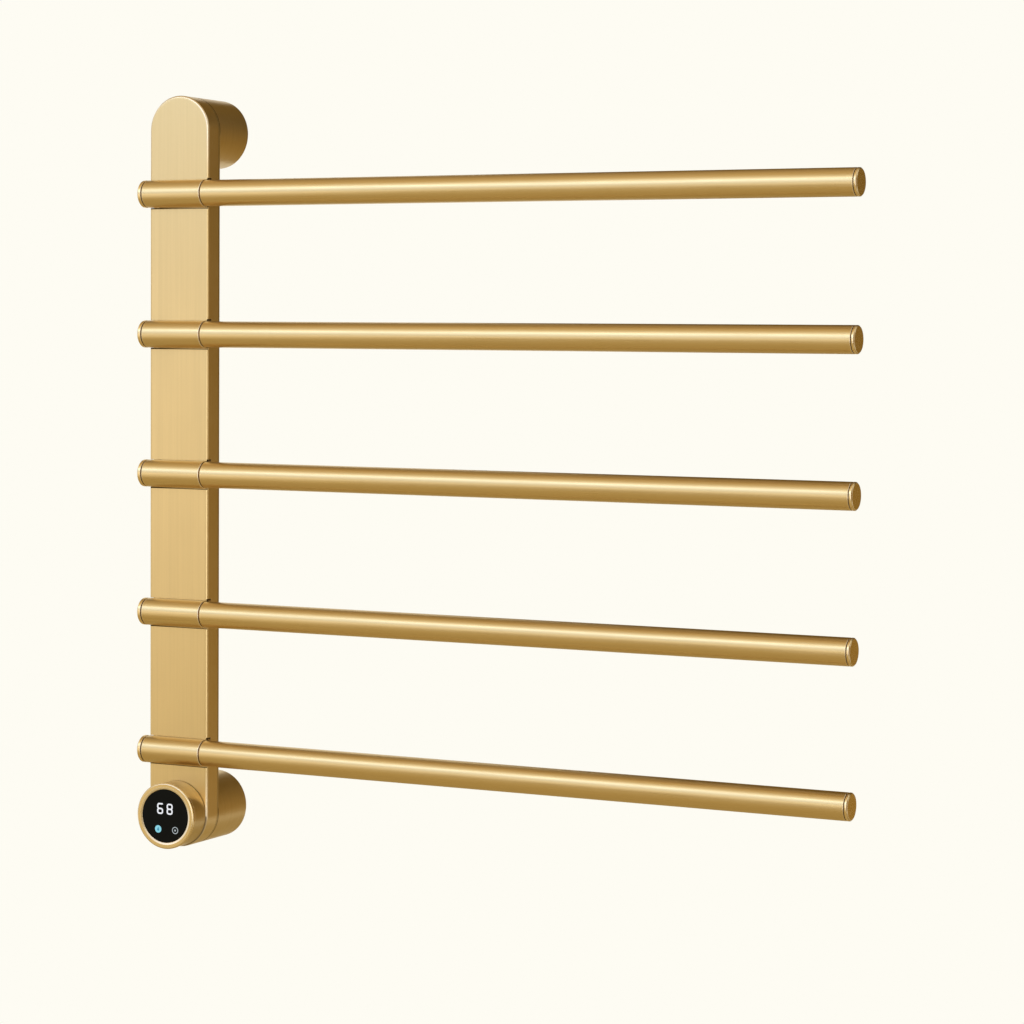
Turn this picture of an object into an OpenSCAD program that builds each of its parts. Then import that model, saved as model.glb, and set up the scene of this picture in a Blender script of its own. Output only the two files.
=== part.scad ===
// Electric heated towel rail: a flat upright post on two round wall standoffs, five
// heated bars that swing forward out of slots in the post, and a round control head.
// X runs right along the wall, Y into the wall, Z up. The wall face is the plane Y = 0,
// and the origin lies on it, midway between the two standoffs.

/* [Post] */
// Width of the post, and diameter of its round ends
post_w = 50; // [46:1:60]
// Depth of the post, front face to the back of its cover
post_d = 16; // [15.5:0.5:20]
// Wall thickness of the post's shell
shell_t = 1.5; // [1:0.1:2]
// Thickness of the back cover
cover_t = 1.8; // [1.2:0.1:2.4]
// Chamfer round the post's front face
post_chamfer = 0.7; // [0.3:0.1:1.2]
// Chamfer round the back cover's rear edge
cover_chamfer = 0.3; // [0.1:0.1:0.6]
// Gap between the round block in each end of the post and the saddle block next to it
end_space = 4.3; // [1:0.1:40]

/* [Bars] */
// Spacing of the bars' axes
bar_pitch = 102; // [60:1:140]
// Diameter of a bar's tube
tube_d = 19; // [17:0.5:19.5]
// Wall thickness of a bar's tube
tube_t = 1.5; // [1:0.1:2]
// Length of a bar's tube
tube_l = 497; // [200:1:700]
// Diameter of a bar's root block
root_d = 20; // [19.5:0.1:20.6]
// Length of a bar's root block, between its end faces
root_l = 49.5; // [44:0.5:60]
// How far a bar's axis stands in front of the post's face
bar_stand = 1.5; // [0.5:0.1:2.5]
// Thickness of a bar's left cap
root_cap_t = 3; // [2:0.1:5]
// Thickness of a bar's right end cap
end_cap_t = 2.2; // [1.6:0.1:4]
// Width of the shadow groove behind each cap
cap_groove_w = 0.6; // [0.3:0.1:1]
// Depth of the shadow groove behind each cap
cap_groove_depth = 0.6; // [0.3:0.1:1]
// Chamfer round each cap's outer face
cap_chamfer = 0.8; // [0.3:0.1:1.2]
// Gap at the seam between a root block and its tube
seam_gap = 0.5; // [0.2:0.1:1]
// Chamfer on the tube's end at the seam
seam_chamfer = 0.4; // [0.1:0.1:0.8]
// Length of the spigot that carries the tube on the root block
spigot_l = 18; // [10:1:30]
// Bore of the root block for the heater's lead
root_bore_d = 9; // [6:0.5:10]
// Diameter of the heating cartridge
heater_d = 8; // [6:0.5:10]
// Distance from the root block's spigot to the heating cartridge
heater_space = 4; // [1:0.5:20]
// Distance from the heating cartridge to the end of the tube
heater_end_space = 35; // [10:1:80]
// Thickness of the cartridge's two spacer discs
heater_disc_t = 4; // [2:0.5:8]
// Diameter of the heater's lead
lead_d = 4; // [3:0.5:5]

/* [Hinges] */
// Distance of a hinge pin's axis from the post's left side
pin_edge = 5; // [4.5:0.1:6]
// Distance of a hinge pin's axis behind the post's front face
pin_depth = 4; // [3.8:0.1:4.5]
// Diameter of a hinge pin
pin_d = 4; // [3:0.1:4.4]
// How far a hinge pin goes into its saddle block, above and below the slot
pin_grip = 6.5; // [4:0.5:8]
// Outer diameter of a hinge bush
bush_d = 7; // [6:0.1:7.4]
// Height of a saddle block above and below its slot
saddle_lip = 7.7; // [7:0.1:10]
// Diameter of the lead's port behind each bar
port_d = 5; // [3:0.5:6]

/* [Wall fixing] */
// Length of a standoff, wall to post
standoff_l = 39; // [30:1:60]
// Wall thickness of a standoff
standoff_t = 2; // [1.5:0.1:3]
// Thickness of a standoff's web against the post
web_t = 4; // [3:0.5:6]
// Chamfer round a standoff's two ends
standoff_chamfer = 0.5; // [0.2:0.1:1]
// Thickness of a wall plate
plate_t = 4; // [3:0.5:6]
// Depth of a wall plate's rim
rim_l = 12; // [10:0.5:16]
// Wall thickness of a wall plate's rim
rim_t = 3; // [2.5:0.1:4]
// Distance between the two screw holes of a wall plate
wall_hole_pitch = 28; // [26:1:29]
// Diameter of a wall plate's screw holes
wall_hole_d = 5.5; // [4.5:0.1:6]
// Diameter of the countersink of a wall plate's screw holes
wall_sink_d = 9.5; // [8:0.1:10]
// Diameter of the grub screws
grub_d = 4; // [3:0.5:5]
// Diameter of the standoff bolts
bolt_d = 5; // [4:0.5:5]
// Length of a standoff bolt under its head
bolt_l = 13; // [11:0.5:14]
// Distance between the two bolts of a standoff
bolt_pitch = 32; // [30:0.5:34]
// Distance of the cable entry from the standoff's axis
entry_offset = 8; // [7:0.5:9]
// Bore of the cable grommet
grommet_bore = 8; // [6:0.5:9]

/* [Control head] */
// Wall of the head's housing outside its neck
head_wall = 2.5; // [1.6:0.1:2.8]
// Depth of the head's housing behind its ring
head_l = 14.5; // [14:0.5:20]
// Wall of the turning ring outside the neck
ring_wall = 2.75; // [2.05:0.05:3]
// Depth of the turning ring
ring_l = 2.8; // [2.6:0.1:4]
// Diameter of the display glass
glass_d = 39; // [38:0.5:42]
// Thickness of the display glass
glass_t = 1.8; // [1.4:0.1:2]
// Depth of the glass face behind the ring's face
glass_recess = 0.2; // [0.1:0.1:0.4]
// Wall of the neck that the ring turns on, outside the glass
neck_wall = 2; // [1.6:0.1:2.4]
// Thickness of the housing's base
head_base_t = 2; // [1.6:0.1:3]
// Width of the ledge that the glass rests on
glass_ledge = 1; // [0.6:0.1:1.4]
// Thickness of the control board
board_t = 1.6; // [1:0.1:2]
// Height of the bosses under the control board
boss_h = 1.4; // [1.2:0.1:2]
// Thickness of the display board
display_board_t = 1; // [0.6:0.1:1.6]
// Height of the power relay
relay_h = 6; // [4:0.5:6.5]

/* [Clearances] */
// Gap between a bar's root block and its slot
slot_gap = 0.6; // [0.2:0.05:0.8]
// Radial running clearance of a bush on its pin
pin_run = 0.04; // [0.02:0.01:0.08]
// Radial clearance of a fixed fit
fit_gap = 0.05; // [0.02:0.01:0.1]
// Play at each end of a hinge bush
bush_play = 0.05; // [0.02:0.01:0.2]
// Clearance between the turning ring and what is near it
ring_gap = 0.3; // [0.2:0.05:0.4]
// Radial running clearance of the turning ring on its neck
ring_run = 0.06; // [0.03:0.01:0.09]

/* [Hidden] */
$fn = 64;
arm_count = 5;
board_post_count = 3;
part_clear = 0.1;
cut_over = 1;
middle_arm = (arm_count + 1) / 2;

function arm_names(stem) = [for (i = [1 : arm_count]) str(stem, "_", i)];

// Planes of the post, from the wall outwards
post_back = -standoff_l;
cover_front = post_back - cover_t;
post_front = post_back - post_d;
shell_inner = post_front + shell_t;
post_r = post_w / 2;
block_r = post_r - shell_t - part_clear;
bar_r = max(root_d, tube_d) / 2;
slot_r = bar_r + slot_gap;
saddle_h = 2 * (slot_r + saddle_lip);
arc_z = (arm_count - 1) / 2 * bar_pitch + saddle_h / 2 + end_space + block_r;
standoff_z = arc_z;

// Places along a bar
bar_y = post_front - bar_stand;
root_r = root_d / 2;
tube_r = tube_d / 2;
pin_x = -post_r + pin_edge;
pin_y = post_front + pin_depth;
pin_offset = pin_y - bar_y;
root_overhang = 0.5;
root_x0 = -post_r - root_overhang;
root_x1 = root_x0 + root_l;
cap_x0 = root_x0 - cap_groove_w - root_cap_t;
tube_x0 = root_x1 + seam_gap;
tube_x1 = tube_x0 + tube_l;
end_x1 = tube_x1 + cap_groove_w + end_cap_t;
spigot_r = tube_r - tube_t - fit_gap;
bush_r = bush_d / 2;
pin_r = pin_d / 2;
bush_seat_r = bush_r + fit_gap;
root_bore_r = root_bore_d / 2;
cap_plug_wall = 3.5;
cap_plug_r = root_r - cap_plug_wall;
cap_plug_l = pin_x - bush_seat_r - root_x0 - slot_gap;
end_plug_l = 6;
heater_x0 = tube_x0 + spigot_l + heater_space;
heater_x1 = tube_x1 - heater_end_space;

// The slot, and the notch that the bar's left end swings into
slot_back = bar_y + slot_r;
notch_x = pin_x + (root_r - pin_offset) + slot_gap;
bush_h = 2 * slot_r - 2 * bush_play;
saddle_w = post_w - 2 * shell_t - 2 * part_clear;
pin_l = 2 * (slot_r + pin_grip);

// The wiring channel behind the saddle blocks
wire_d = 2.4;
wire_step = 3;
port_x = -9;
wire_xs = [port_x - wire_step, port_x, port_x + wire_step];
channel_margin = 0.6;
channel_x0 = wire_xs[0] - wire_d / 2 - channel_margin;
channel_x1 = wire_xs[2] + wire_d / 2 + channel_margin;
wire_y = cover_front - part_clear - wire_d / 2;
channel_y = wire_y - wire_d / 2 - channel_margin;
port_margin = 1;

// Screws
cover_screw_x = 12;
cover_screw_dz = slot_r + saddle_lip / 2;
cover_screw_r = 1.5;
cover_screw_head_r = 3;
cover_screw_head_h = 1.5;
cover_screw_l = 6.5;
drive_r = 1.1;
drive_depth = 0.8;

// Standoffs and wall plates
standoff_r = post_r;
standoff_bore_r = standoff_r - standoff_t;
web_back = post_back + web_t;
plate_r = standoff_bore_r - part_clear;
rim_r = plate_r - rim_t;
grub_r = grub_d / 2;
grub_y = -(plate_t + rim_l) / 2;
bolt_r = bolt_d / 2;
bolt_head_rim = 1.75;
bolt_head_r = bolt_r + bolt_head_rim;
bolt_head_h = bolt_d;
block_bore_r = 11;
loom_r = 3;
loom_hole_r = 5;

// Grommet and terminal block
grommet_wall = 1.5;
grommet_neck_r = grommet_bore / 2 + grommet_wall;
grommet_flange_r = grommet_neck_r + grommet_wall;
grommet_flange_t = 1.2;
terminal_x0 = 5;
terminal_w = 10.5;
terminal_h = 14;
terminal_l = 19;
terminal_screw_r = 2;
terminal_screw_depth = 3;
terminal_wire_r = 1.6;

// Control head, from the post outwards
head_z = -arc_z;
glass_r = glass_d / 2;
neck_r = glass_r + neck_wall;
head_r = neck_r + head_wall;
ring_r = neck_r + ring_wall;
head_front = post_front - head_l;
ring_back = head_front - ring_gap;
ring_front = ring_back - ring_l;
glass_front = ring_front + glass_recess;
glass_back = glass_front + glass_t;
ring_lip_t = 0.9;
neck_front = ring_front + ring_lip_t + ring_gap;
bore_r = glass_r - glass_ledge;
board_gap = 0.3;
base_front = post_front - head_base_t;
board_r = bore_r - board_gap;
board_back = base_front - boss_h;
board_front = board_back - board_t;
display_back = glass_back + display_board_t;
spacer_l = board_front - display_back;
board_post_r = 15.5;
board_post_turn = 30;
board_boss_r = 2.5;
board_screw_r = 1;
board_screw_head_r = 1.9;
board_screw_head_h = 1.2;
head_screw_x = 14;
head_screw_r = 1.5;
head_screw_l = 9;
clip_y = ring_back - ring_l / 2;
clip_t = 0.4;
clip_slot = 4;
clip_deep = 0.6;
magnet_r = 0.7;
magnet_t = 0.6;
magnet_x = (ring_r + neck_r + ring_run) / 2;
ring_chamfer = 0.4;
glass_chamfer = 0.2;
display_w = 22;
display_h = 14;
display_depth = 2.5;
relay_size = [16, 12];
relay_drop = 10;

// Temperature sensor on the back cover, between the two lowest saddles
sensor_size = [8, 3, 10];
sensor_x = 6;

function bar_z(i) = (middle_arm - i) * bar_pitch;
sensor_z = (bar_z(arm_count - 1) + bar_z(arm_count) - sensor_size[2]) / 2;

gold = [0.82, 0.69, 0.44];
gold_light = [0.91, 0.82, 0.6];
gold_dark = [0.62, 0.49, 0.25];
steel = [0.72, 0.72, 0.7];
alloy = [0.66, 0.67, 0.68];
dark_glass = [0.05, 0.05, 0.05];

// A cylinder along Y from y0 to y1
module rod_y(r, y0, y1) {
    translate([0, y1, 0]) rotate([90, 0, 0]) cylinder(r = r, h = y1 - y0);
}

// A cone or cylinder along Y, of radius r0 at y0 and r1 at y1
module cone_y(r0, r1, y0, y1) {
    translate([0, y0, 0]) rotate([-90, 0, 0]) cylinder(r1 = r0, r2 = r1, h = y1 - y0);
}

// A cylinder along X from x0 to x1
module rod_x(r, x0, x1) {
    translate([x0, 0, 0]) rotate([0, 90, 0]) cylinder(r = r, h = x1 - x0);
}

// A cone along X, of radius r0 at x0 and r1 at x1
module cone_x(r0, r1, x0, x1) {
    translate([x0, 0, 0]) rotate([0, 90, 0]) cylinder(r1 = r0, r2 = r1, h = x1 - x0);
}

// A tall plate with full round ends, from y0 to y1, chamfered at its front and back edges
module round_ended_plate(w, y0, y1, front_chamfer, back_chamfer) {
    r = w / 2;
    d = y1 - y0;
    half = [
        [0, 0], [r - front_chamfer, 0], [r, front_chamfer],
        [r, d - back_chamfer], [r - back_chamfer, d], [0, d]
    ];
    full = concat([for (p = half) p], [for (k = [4 : -1 : 1]) [-half[k][0], half[k][1]]]);
    for (side = [-1, 1])
        translate([0, y0, side * arc_z]) rotate([-90, 0, 0]) rotate_extrude() polygon(half);
    translate([0, y0, -arc_z]) linear_extrude(height = 2 * arc_z) polygon(full);
}

// The slot of one bar: flat above and below, rounded behind
module slot_cut(margin) {
    translate([-post_r - margin, 0, 0]) union() {
        translate([0, bar_y, 0]) rod_x(slot_r, 0, post_w + 2 * margin);
        translate([0, bar_y - root_d, -slot_r]) cube([post_w + 2 * margin, root_d, 2 * slot_r]);
    }
    translate([-post_r - margin, bar_y, -slot_r])
        cube([notch_x + post_r + margin, cover_front - bar_y, 2 * slot_r]);
}

// Copies a child to both standoff axes
module at_standoffs() {
    for (side = [-1, 1]) translate([0, 0, side * standoff_z]) children();
}

module post_shell() {
    color(gold)
    difference() {
        round_ended_plate(post_w, post_front, cover_front, post_chamfer, 0);
        round_ended_plate(post_w - 2 * shell_t, shell_inner, cover_front + shell_t, 0, 0);
        for (i = [1 : arm_count]) translate([0, 0, bar_z(i)]) slot_cut(shell_t);
        translate([0, 0, head_z]) rod_y(loom_hole_r, post_front - shell_t, shell_inner + shell_t);
        for (k = [-1, 1]) translate([k * head_screw_x, 0, head_z])
            rod_y(head_screw_r + fit_gap, post_front - shell_t, shell_inner + shell_t);
    }
}

module post_back_cover() {
    color(gold_dark)
    difference() {
        round_ended_plate(post_w, cover_front, post_back, 0, cover_chamfer);
        for (i = [1 : arm_count]) for (k = [-1, 1])
            translate([cover_screw_x, 0, bar_z(i) + k * cover_screw_dz]) {
                rod_y(cover_screw_r + part_clear, cover_front - cover_t, post_back + cover_t);
                cone_y(cover_screw_r + part_clear, cover_screw_head_r + part_clear,
                       post_back - cover_screw_head_h, post_back);
            }
        at_standoffs() for (k = [-1, 1]) translate([0, 0, k * bolt_pitch / 2])
            rod_y(bolt_r + part_clear, cover_front - cover_t, post_back + cover_t);
        translate([0, 0, -standoff_z]) rod_y(loom_hole_r, cover_front - cover_t, post_back + cover_t);
    }
}

module cover_screw() {
    difference() {
        union() {
            rod_y(cover_screw_r, post_back - cover_screw_l, post_back - cover_screw_head_h);
            cone_y(cover_screw_r, cover_screw_head_r, post_back - cover_screw_head_h, post_back);
        }
        translate([0, post_back + drive_depth, 0]) rotate([90, 0, 0])
            cylinder(r = drive_r, h = 2 * drive_depth, $fn = 6);
    }
}

module back_cover_screws() {
    color(steel)
    for (i = [1 : arm_count]) for (k = [-1, 1])
        translate([cover_screw_x, 0, bar_z(i) + k * cover_screw_dz]) cover_screw();
}

// One saddle block, centred on its bar's height
module saddle_block() {
    difference() {
        translate([-saddle_w / 2, shell_inner, -saddle_h / 2])
            cube([saddle_w, cover_front - shell_inner, saddle_h]);
        slot_cut(shell_t);
        translate([pin_x, pin_y, -pin_l / 2]) cylinder(r = pin_r + fit_gap, h = pin_l + saddle_h);
        translate([channel_x0, channel_y, -saddle_h])
            cube([channel_x1 - channel_x0, post_d, 2 * saddle_h]);
        translate([port_x, 0, 0]) rod_y(port_d / 2, bar_y, cover_front);
        for (k = [-1, 1]) translate([cover_screw_x, 0, k * cover_screw_dz])
            rod_y(cover_screw_r + fit_gap, post_back - cover_screw_l - part_clear, cover_front + part_clear);
    }
}

module saddle_blocks() {
    color(alloy)
    for (i = [1 : arm_count]) translate([0, 0, bar_z(i)]) saddle_block();
}

module hinge_pins() {
    color(steel)
    for (i = [1 : arm_count])
        translate([pin_x, pin_y, bar_z(i) - pin_l / 2]) cylinder(r = pin_r, h = pin_l);
}

module hinge_bush(i) {
    color([0.75, 0.6, 0.35])
    translate([pin_x, pin_y, bar_z(i) - bush_h / 2])
    difference() {
        cylinder(r = bush_r, h = bush_h);
        translate([0, 0, -bush_h]) cylinder(r = pin_r + pin_run, h = 3 * bush_h);
    }
}

module arm_root(i) {
    color(gold)
    translate([0, bar_y, bar_z(i)])
    difference() {
        union() {
            rod_x(root_r, root_x0, root_x1);
            rod_x(spigot_r, root_x1 - seam_gap, tube_x0 + spigot_l);
        }
        rod_x(root_bore_r, port_x - port_d / 2 - port_margin, tube_x0 + 2 * spigot_l);
        rod_x(cap_plug_r + fit_gap, root_x0 - cap_plug_l, root_x0 + cap_plug_l + fit_gap);
        translate([port_x, 0, 0]) rod_y(port_d / 2, 0, 2 * root_r);
        translate([pin_x, pin_offset, -root_d]) cylinder(r = bush_seat_r, h = 2 * root_d);
    }
}

module root_cap(i) {
    color(gold_light)
    translate([0, bar_y, bar_z(i)]) {
        cone_x(root_r - cap_chamfer, root_r, cap_x0, cap_x0 + cap_chamfer);
        rod_x(root_r, cap_x0 + cap_chamfer, cap_x0 + root_cap_t);
        rod_x(root_r - cap_groove_depth, cap_x0 + root_cap_t, root_x0);
        rod_x(cap_plug_r, root_x0, root_x0 + cap_plug_l);
    }
}

module arm_tube(i) {
    color(gold)
    translate([0, bar_y, bar_z(i)])
    difference() {
        union() {
            cone_x(tube_r - seam_chamfer, tube_r, tube_x0, tube_x0 + seam_chamfer);
            rod_x(tube_r, tube_x0 + seam_chamfer, tube_x1);
        }
        rod_x(tube_r - tube_t, tube_x0 - tube_t, tube_x1 + tube_t);
    }
}

module end_cap(i) {
    color(gold_light)
    translate([0, bar_y, bar_z(i)]) {
        rod_x(spigot_r, tube_x1 - end_plug_l, tube_x1);
        rod_x(tube_r - cap_groove_depth, tube_x1, tube_x1 + cap_groove_w);
        rod_x(tube_r, tube_x1 + cap_groove_w, end_x1 - cap_chamfer);
        cone_x(tube_r, tube_r - cap_chamfer, end_x1 - cap_chamfer, end_x1);
    }
}

module arm_heater(i) {
    color([0.5, 0.5, 0.5])
    translate([0, bar_y, bar_z(i)]) {
        rod_x(heater_d / 2, heater_x0, heater_x1);
        rod_x(spigot_r, heater_x0 + heater_d, heater_x0 + heater_d + heater_disc_t);
        rod_x(spigot_r, heater_x1 - heater_d - heater_disc_t, heater_x1 - heater_d);
        rod_x(lead_d / 2, port_x, heater_x0);
    }
}

module upper_anchor_block() {
    color(alloy)
    translate([0, 0, standoff_z]) anchor_block();
}

// A round block in the end of the post, with two threaded holes
module anchor_block() {
    difference() {
        rod_y(block_r, shell_inner, cover_front);
        for (k = [-1, 1]) translate([0, 0, k * bolt_pitch / 2])
            rod_y(bolt_r + fit_gap, web_back - bolt_l - part_clear, cover_front + part_clear);
    }
}

module lower_anchor_block() {
    color(alloy)
    translate([0, 0, -standoff_z])
    difference() {
        anchor_block();
        rod_y(block_bore_r, shell_inner - part_clear, cover_front + part_clear);
        translate([channel_x0, channel_y, -wire_d])
            cube([channel_x1 - channel_x0, post_d, post_w]);
        for (k = [-1, 1]) translate([k * head_screw_x, 0, standoff_z + head_z])
            rod_y(head_screw_r + fit_gap, shell_inner - part_clear, base_front + head_screw_l + part_clear);
    }
}

module wiring_loom() {
    color([0.15, 0.15, 0.15])
    union() {
        translate([0, 0, -standoff_z]) {
            rod_y(loom_r, board_back + part_clear, -plate_t - terminal_h / 2);
            for (x = wire_xs) translate([0, wire_y, 0]) rod_x(wire_d / 2, x, 0);
        }
        for (x = wire_xs) translate([x, wire_y, -standoff_z])
            cylinder(r = wire_d / 2, h = standoff_z + bar_z(1));
        for (i = [1 : arm_count]) translate([port_x, 0, bar_z(i)])
            rod_y(wire_d / 2, slot_back + part_clear, wire_y);
    }
}

module thermal_sensor() {
    color([0.1, 0.1, 0.1])
    translate([sensor_x, cover_front - sensor_size[1], sensor_z]) cube(sensor_size);
}

// One standoff: a sleeve with a web against the post
module standoff() {
    difference() {
        union() {
            cone_y(standoff_r - standoff_chamfer, standoff_r, post_back, post_back + standoff_chamfer);
            rod_y(standoff_r, post_back + standoff_chamfer, -standoff_chamfer);
            cone_y(standoff_r, standoff_r - standoff_chamfer, -standoff_chamfer, 0);
        }
        rod_y(standoff_bore_r, web_back, standoff_t);
        for (k = [-1, 1]) translate([0, 0, k * bolt_pitch / 2])
            rod_y(bolt_r + part_clear, post_back - web_t, web_back + web_t);
        at_grubs() cylinder(r = grub_r + fit_gap, h = post_w);
    }
}

// Copies a child to the two grub screws of a standoff, +Z pointing out along the screw
module at_grubs() {
    for (a = [180, 270]) translate([0, grub_y, 0]) rotate([0, a, 0]) children();
}

module upper_standoff() {
    color(gold_dark) translate([0, 0, standoff_z]) standoff();
}

module lower_standoff() {
    color(gold_dark)
    translate([0, 0, -standoff_z])
    difference() {
        standoff();
        rod_y(loom_hole_r, post_back - web_t, web_back + web_t);
    }
}

// One wall plate: a disc on the wall with a rim that the grub screws clamp
module wall_plate() {
    difference() {
        rod_y(plate_r, -rim_l, 0);
        rod_y(rim_r, -rim_l - rim_t, -plate_t);
        for (k = [-1, 1]) translate([0, 0, k * wall_hole_pitch / 2]) {
            rod_y(wall_hole_d / 2, -plate_t - rim_t, rim_t);
            cone_y(wall_sink_d / 2, wall_hole_d / 2, -plate_t, -plate_t / 2);
        }
    }
}

module upper_wall_plate() {
    color(steel) translate([0, 0, standoff_z]) wall_plate();
}

module lower_wall_plate() {
    color(steel)
    translate([0, 0, -standoff_z])
    difference() {
        wall_plate();
        translate([-entry_offset, 0, 0]) rod_y(grommet_neck_r, -plate_t - rim_t, rim_t);
    }
}

module grub_screws() {
    color(steel)
    at_standoffs() at_grubs() difference() {
        translate([0, 0, plate_r]) cylinder(r = grub_r, h = standoff_r - plate_r - part_clear);
        translate([0, 0, standoff_r - part_clear - drive_depth])
            cylinder(r = drive_r, h = 2 * drive_depth, $fn = 6);
    }
}

module standoff_bolt() {
    difference() {
        union() {
            rod_y(bolt_r, web_back - bolt_l, web_back);
            rod_y(bolt_head_r, web_back, web_back + bolt_head_h);
        }
        translate([0, web_back + bolt_head_h + drive_depth, 0]) rotate([90, 0, 0])
            cylinder(r = bolt_r, h = bolt_head_h / 2 + drive_depth, $fn = 6);
    }
}

module standoff_bolts() {
    color(steel)
    at_standoffs() for (k = [-1, 1]) translate([0, 0, k * bolt_pitch / 2]) standoff_bolt();
}

module cable_grommet() {
    color([0.12, 0.12, 0.12])
    translate([-entry_offset, 0, -standoff_z])
    difference() {
        union() {
            rod_y(grommet_neck_r - fit_gap, -plate_t, 0);
            rod_y(grommet_flange_r, -plate_t - grommet_flange_t, -plate_t);
        }
        rod_y(grommet_bore / 2, -plate_t - 2 * grommet_flange_t, grommet_flange_t);
    }
}

module terminal_block() {
    pole = terminal_l / 3;
    color([0.93, 0.92, 0.88])
    translate([terminal_x0, -plate_t - terminal_h, -standoff_z - terminal_l / 2])
    difference() {
        cube([terminal_w, terminal_h, terminal_l]);
        for (k = [0 : 2]) {
            translate([terminal_w / 2, 0, (k + 0.5) * pole])
                rod_y(terminal_screw_r, -terminal_screw_depth, terminal_screw_depth);
            translate([0, terminal_h / 2, (k + 0.5) * pole])
                rod_x(terminal_wire_r, -terminal_wire_r, terminal_w - terminal_wire_r);
        }
    }
}

module head_housing() {
    color(gold)
    translate([0, 0, head_z])
    difference() {
        union() {
            rod_y(head_r, head_front, post_front);
            rod_y(neck_r, neck_front, head_front);
        }
        rod_y(bore_r, neck_front - cut_over, base_front);
        rod_y(glass_r + fit_gap, neck_front - cut_over, glass_back);
        rod_y(loom_hole_r, base_front - cut_over, post_front + cut_over);
        translate([0, clip_y - clip_t / 2, 0]) clip_groove();
        for (k = [-1, 1]) translate([k * head_screw_x, 0, 0]) {
            rod_y(head_screw_r + fit_gap, base_front - cut_over, post_front + cut_over);
            cone_y(2 * head_screw_r + part_clear, head_screw_r + fit_gap,
                   base_front, base_front + head_screw_r);
        }
    }
    color(gold)
    translate([0, 0, head_z]) at_board_posts() difference() {
        rod_y(board_boss_r, board_back, base_front);
        rod_y(board_screw_r + fit_gap, board_back - cut_over, base_front + cut_over);
    }
}

// The groove in the neck that holds the retaining clip
module clip_groove() {
    difference() {
        rod_y(neck_r + cut_over, 0, clip_t);
        rod_y(neck_r - clip_deep, -cut_over, clip_t + cut_over);
    }
}

// Copies a child to the three board posts
module at_board_posts() {
    for (k = [0 : board_post_count - 1])
        rotate([0, board_post_turn + k * 360 / board_post_count, 0])
            translate([board_post_r, 0, 0]) children();
}

module dial_ring() {
    color(gold_light)
    translate([0, 0, head_z])
    difference() {
        union() {
            cone_y(ring_r - ring_chamfer, ring_r, ring_front, ring_front + ring_chamfer);
            rod_y(ring_r, ring_front + ring_chamfer, ring_back);
        }
        rod_y(glass_r + ring_gap, ring_front - cut_over, ring_back + cut_over);
        cone_y(glass_r + ring_gap + ring_chamfer, glass_r + ring_gap, ring_front, ring_front + ring_chamfer);
        rod_y(neck_r + ring_run, ring_front + ring_lip_t, ring_back + cut_over);
        rod_y(neck_r + clip_deep + ring_gap,
              clip_y - (clip_t + ring_gap) / 2, clip_y + (clip_t + ring_gap) / 2);
        for (k = [0, 180]) rotate([0, k, 0]) translate([magnet_x, 0, 0])
            rod_y(magnet_r + fit_gap, ring_back - magnet_t, ring_back + cut_over);
    }
}

module dial_clip() {
    color(steel)
    translate([0, 0, head_z])
    difference() {
        rod_y(neck_r + clip_deep, clip_y - clip_t / 2, clip_y + clip_t / 2);
        rod_y(neck_r - clip_deep, clip_y - cut_over, clip_y + cut_over);
        translate([-clip_slot / 2, clip_y - cut_over, 0]) cube([clip_slot, 2 * cut_over, post_w]);
    }
}

module dial_magnets() {
    color(steel)
    translate([0, 0, head_z])
    for (k = [0, 180]) rotate([0, k, 0]) translate([magnet_x, 0, 0])
        rod_y(magnet_r, ring_back - magnet_t, ring_back);
}

module display_glass() {
    color(dark_glass)
    translate([0, 0, head_z]) {
        cone_y(glass_r - glass_chamfer, glass_r, glass_front, glass_front + glass_chamfer);
        rod_y(glass_r, glass_front + glass_chamfer, glass_back);
    }
}

module display_board() {
    color([0.1, 0.3, 0.15])
    translate([0, 0, head_z])
    difference() {
        rod_y(board_r, display_back - display_board_t, display_back);
        translate([-display_w / 2, glass_back - cut_over, -display_h / 2])
            cube([display_w, 4 * cut_over, display_h]);
    }
}

module display_module() {
    color([0.9, 0.9, 0.9])
    translate([-display_w / 2 + fit_gap, glass_back, head_z - display_h / 2 + fit_gap])
        cube([display_w - 2 * fit_gap, display_depth, display_h - 2 * fit_gap]);
}

module control_board() {
    color([0.1, 0.35, 0.18])
    translate([0, 0, head_z])
    difference() {
        rod_y(board_r, board_front, board_back);
        at_board_posts() rod_y(board_screw_r + fit_gap, board_front - cut_over, board_back + cut_over);
    }
}

module power_relay() {
    color([0.15, 0.25, 0.55])
    translate([-relay_size[0] / 2, board_front - relay_h, head_z - relay_drop])
        cube([relay_size[0], relay_h, relay_size[1]]);
}

module board_spacers() {
    color([0.85, 0.83, 0.75])
    translate([0, 0, head_z]) at_board_posts() difference() {
        rod_y(board_boss_r, board_front - spacer_l, board_front);
        rod_y(board_screw_head_r + fit_gap,
              board_front - board_screw_head_h - part_clear, board_front + cut_over);
    }
}

module board_screws() {
    color(steel)
    translate([0, 0, head_z]) at_board_posts() {
        rod_y(board_screw_head_r, board_front - board_screw_head_h, board_front);
        rod_y(board_screw_r, board_front, base_front);
    }
}

module head_screws() {
    color(steel)
    translate([0, 0, head_z]) for (k = [-1, 1]) translate([k * head_screw_x, 0, 0]) {
        cone_y(2 * head_screw_r, head_screw_r, base_front, base_front + head_screw_r);
        rod_y(head_screw_r, base_front + head_screw_r, base_front + head_screw_l);
    }
}

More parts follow.
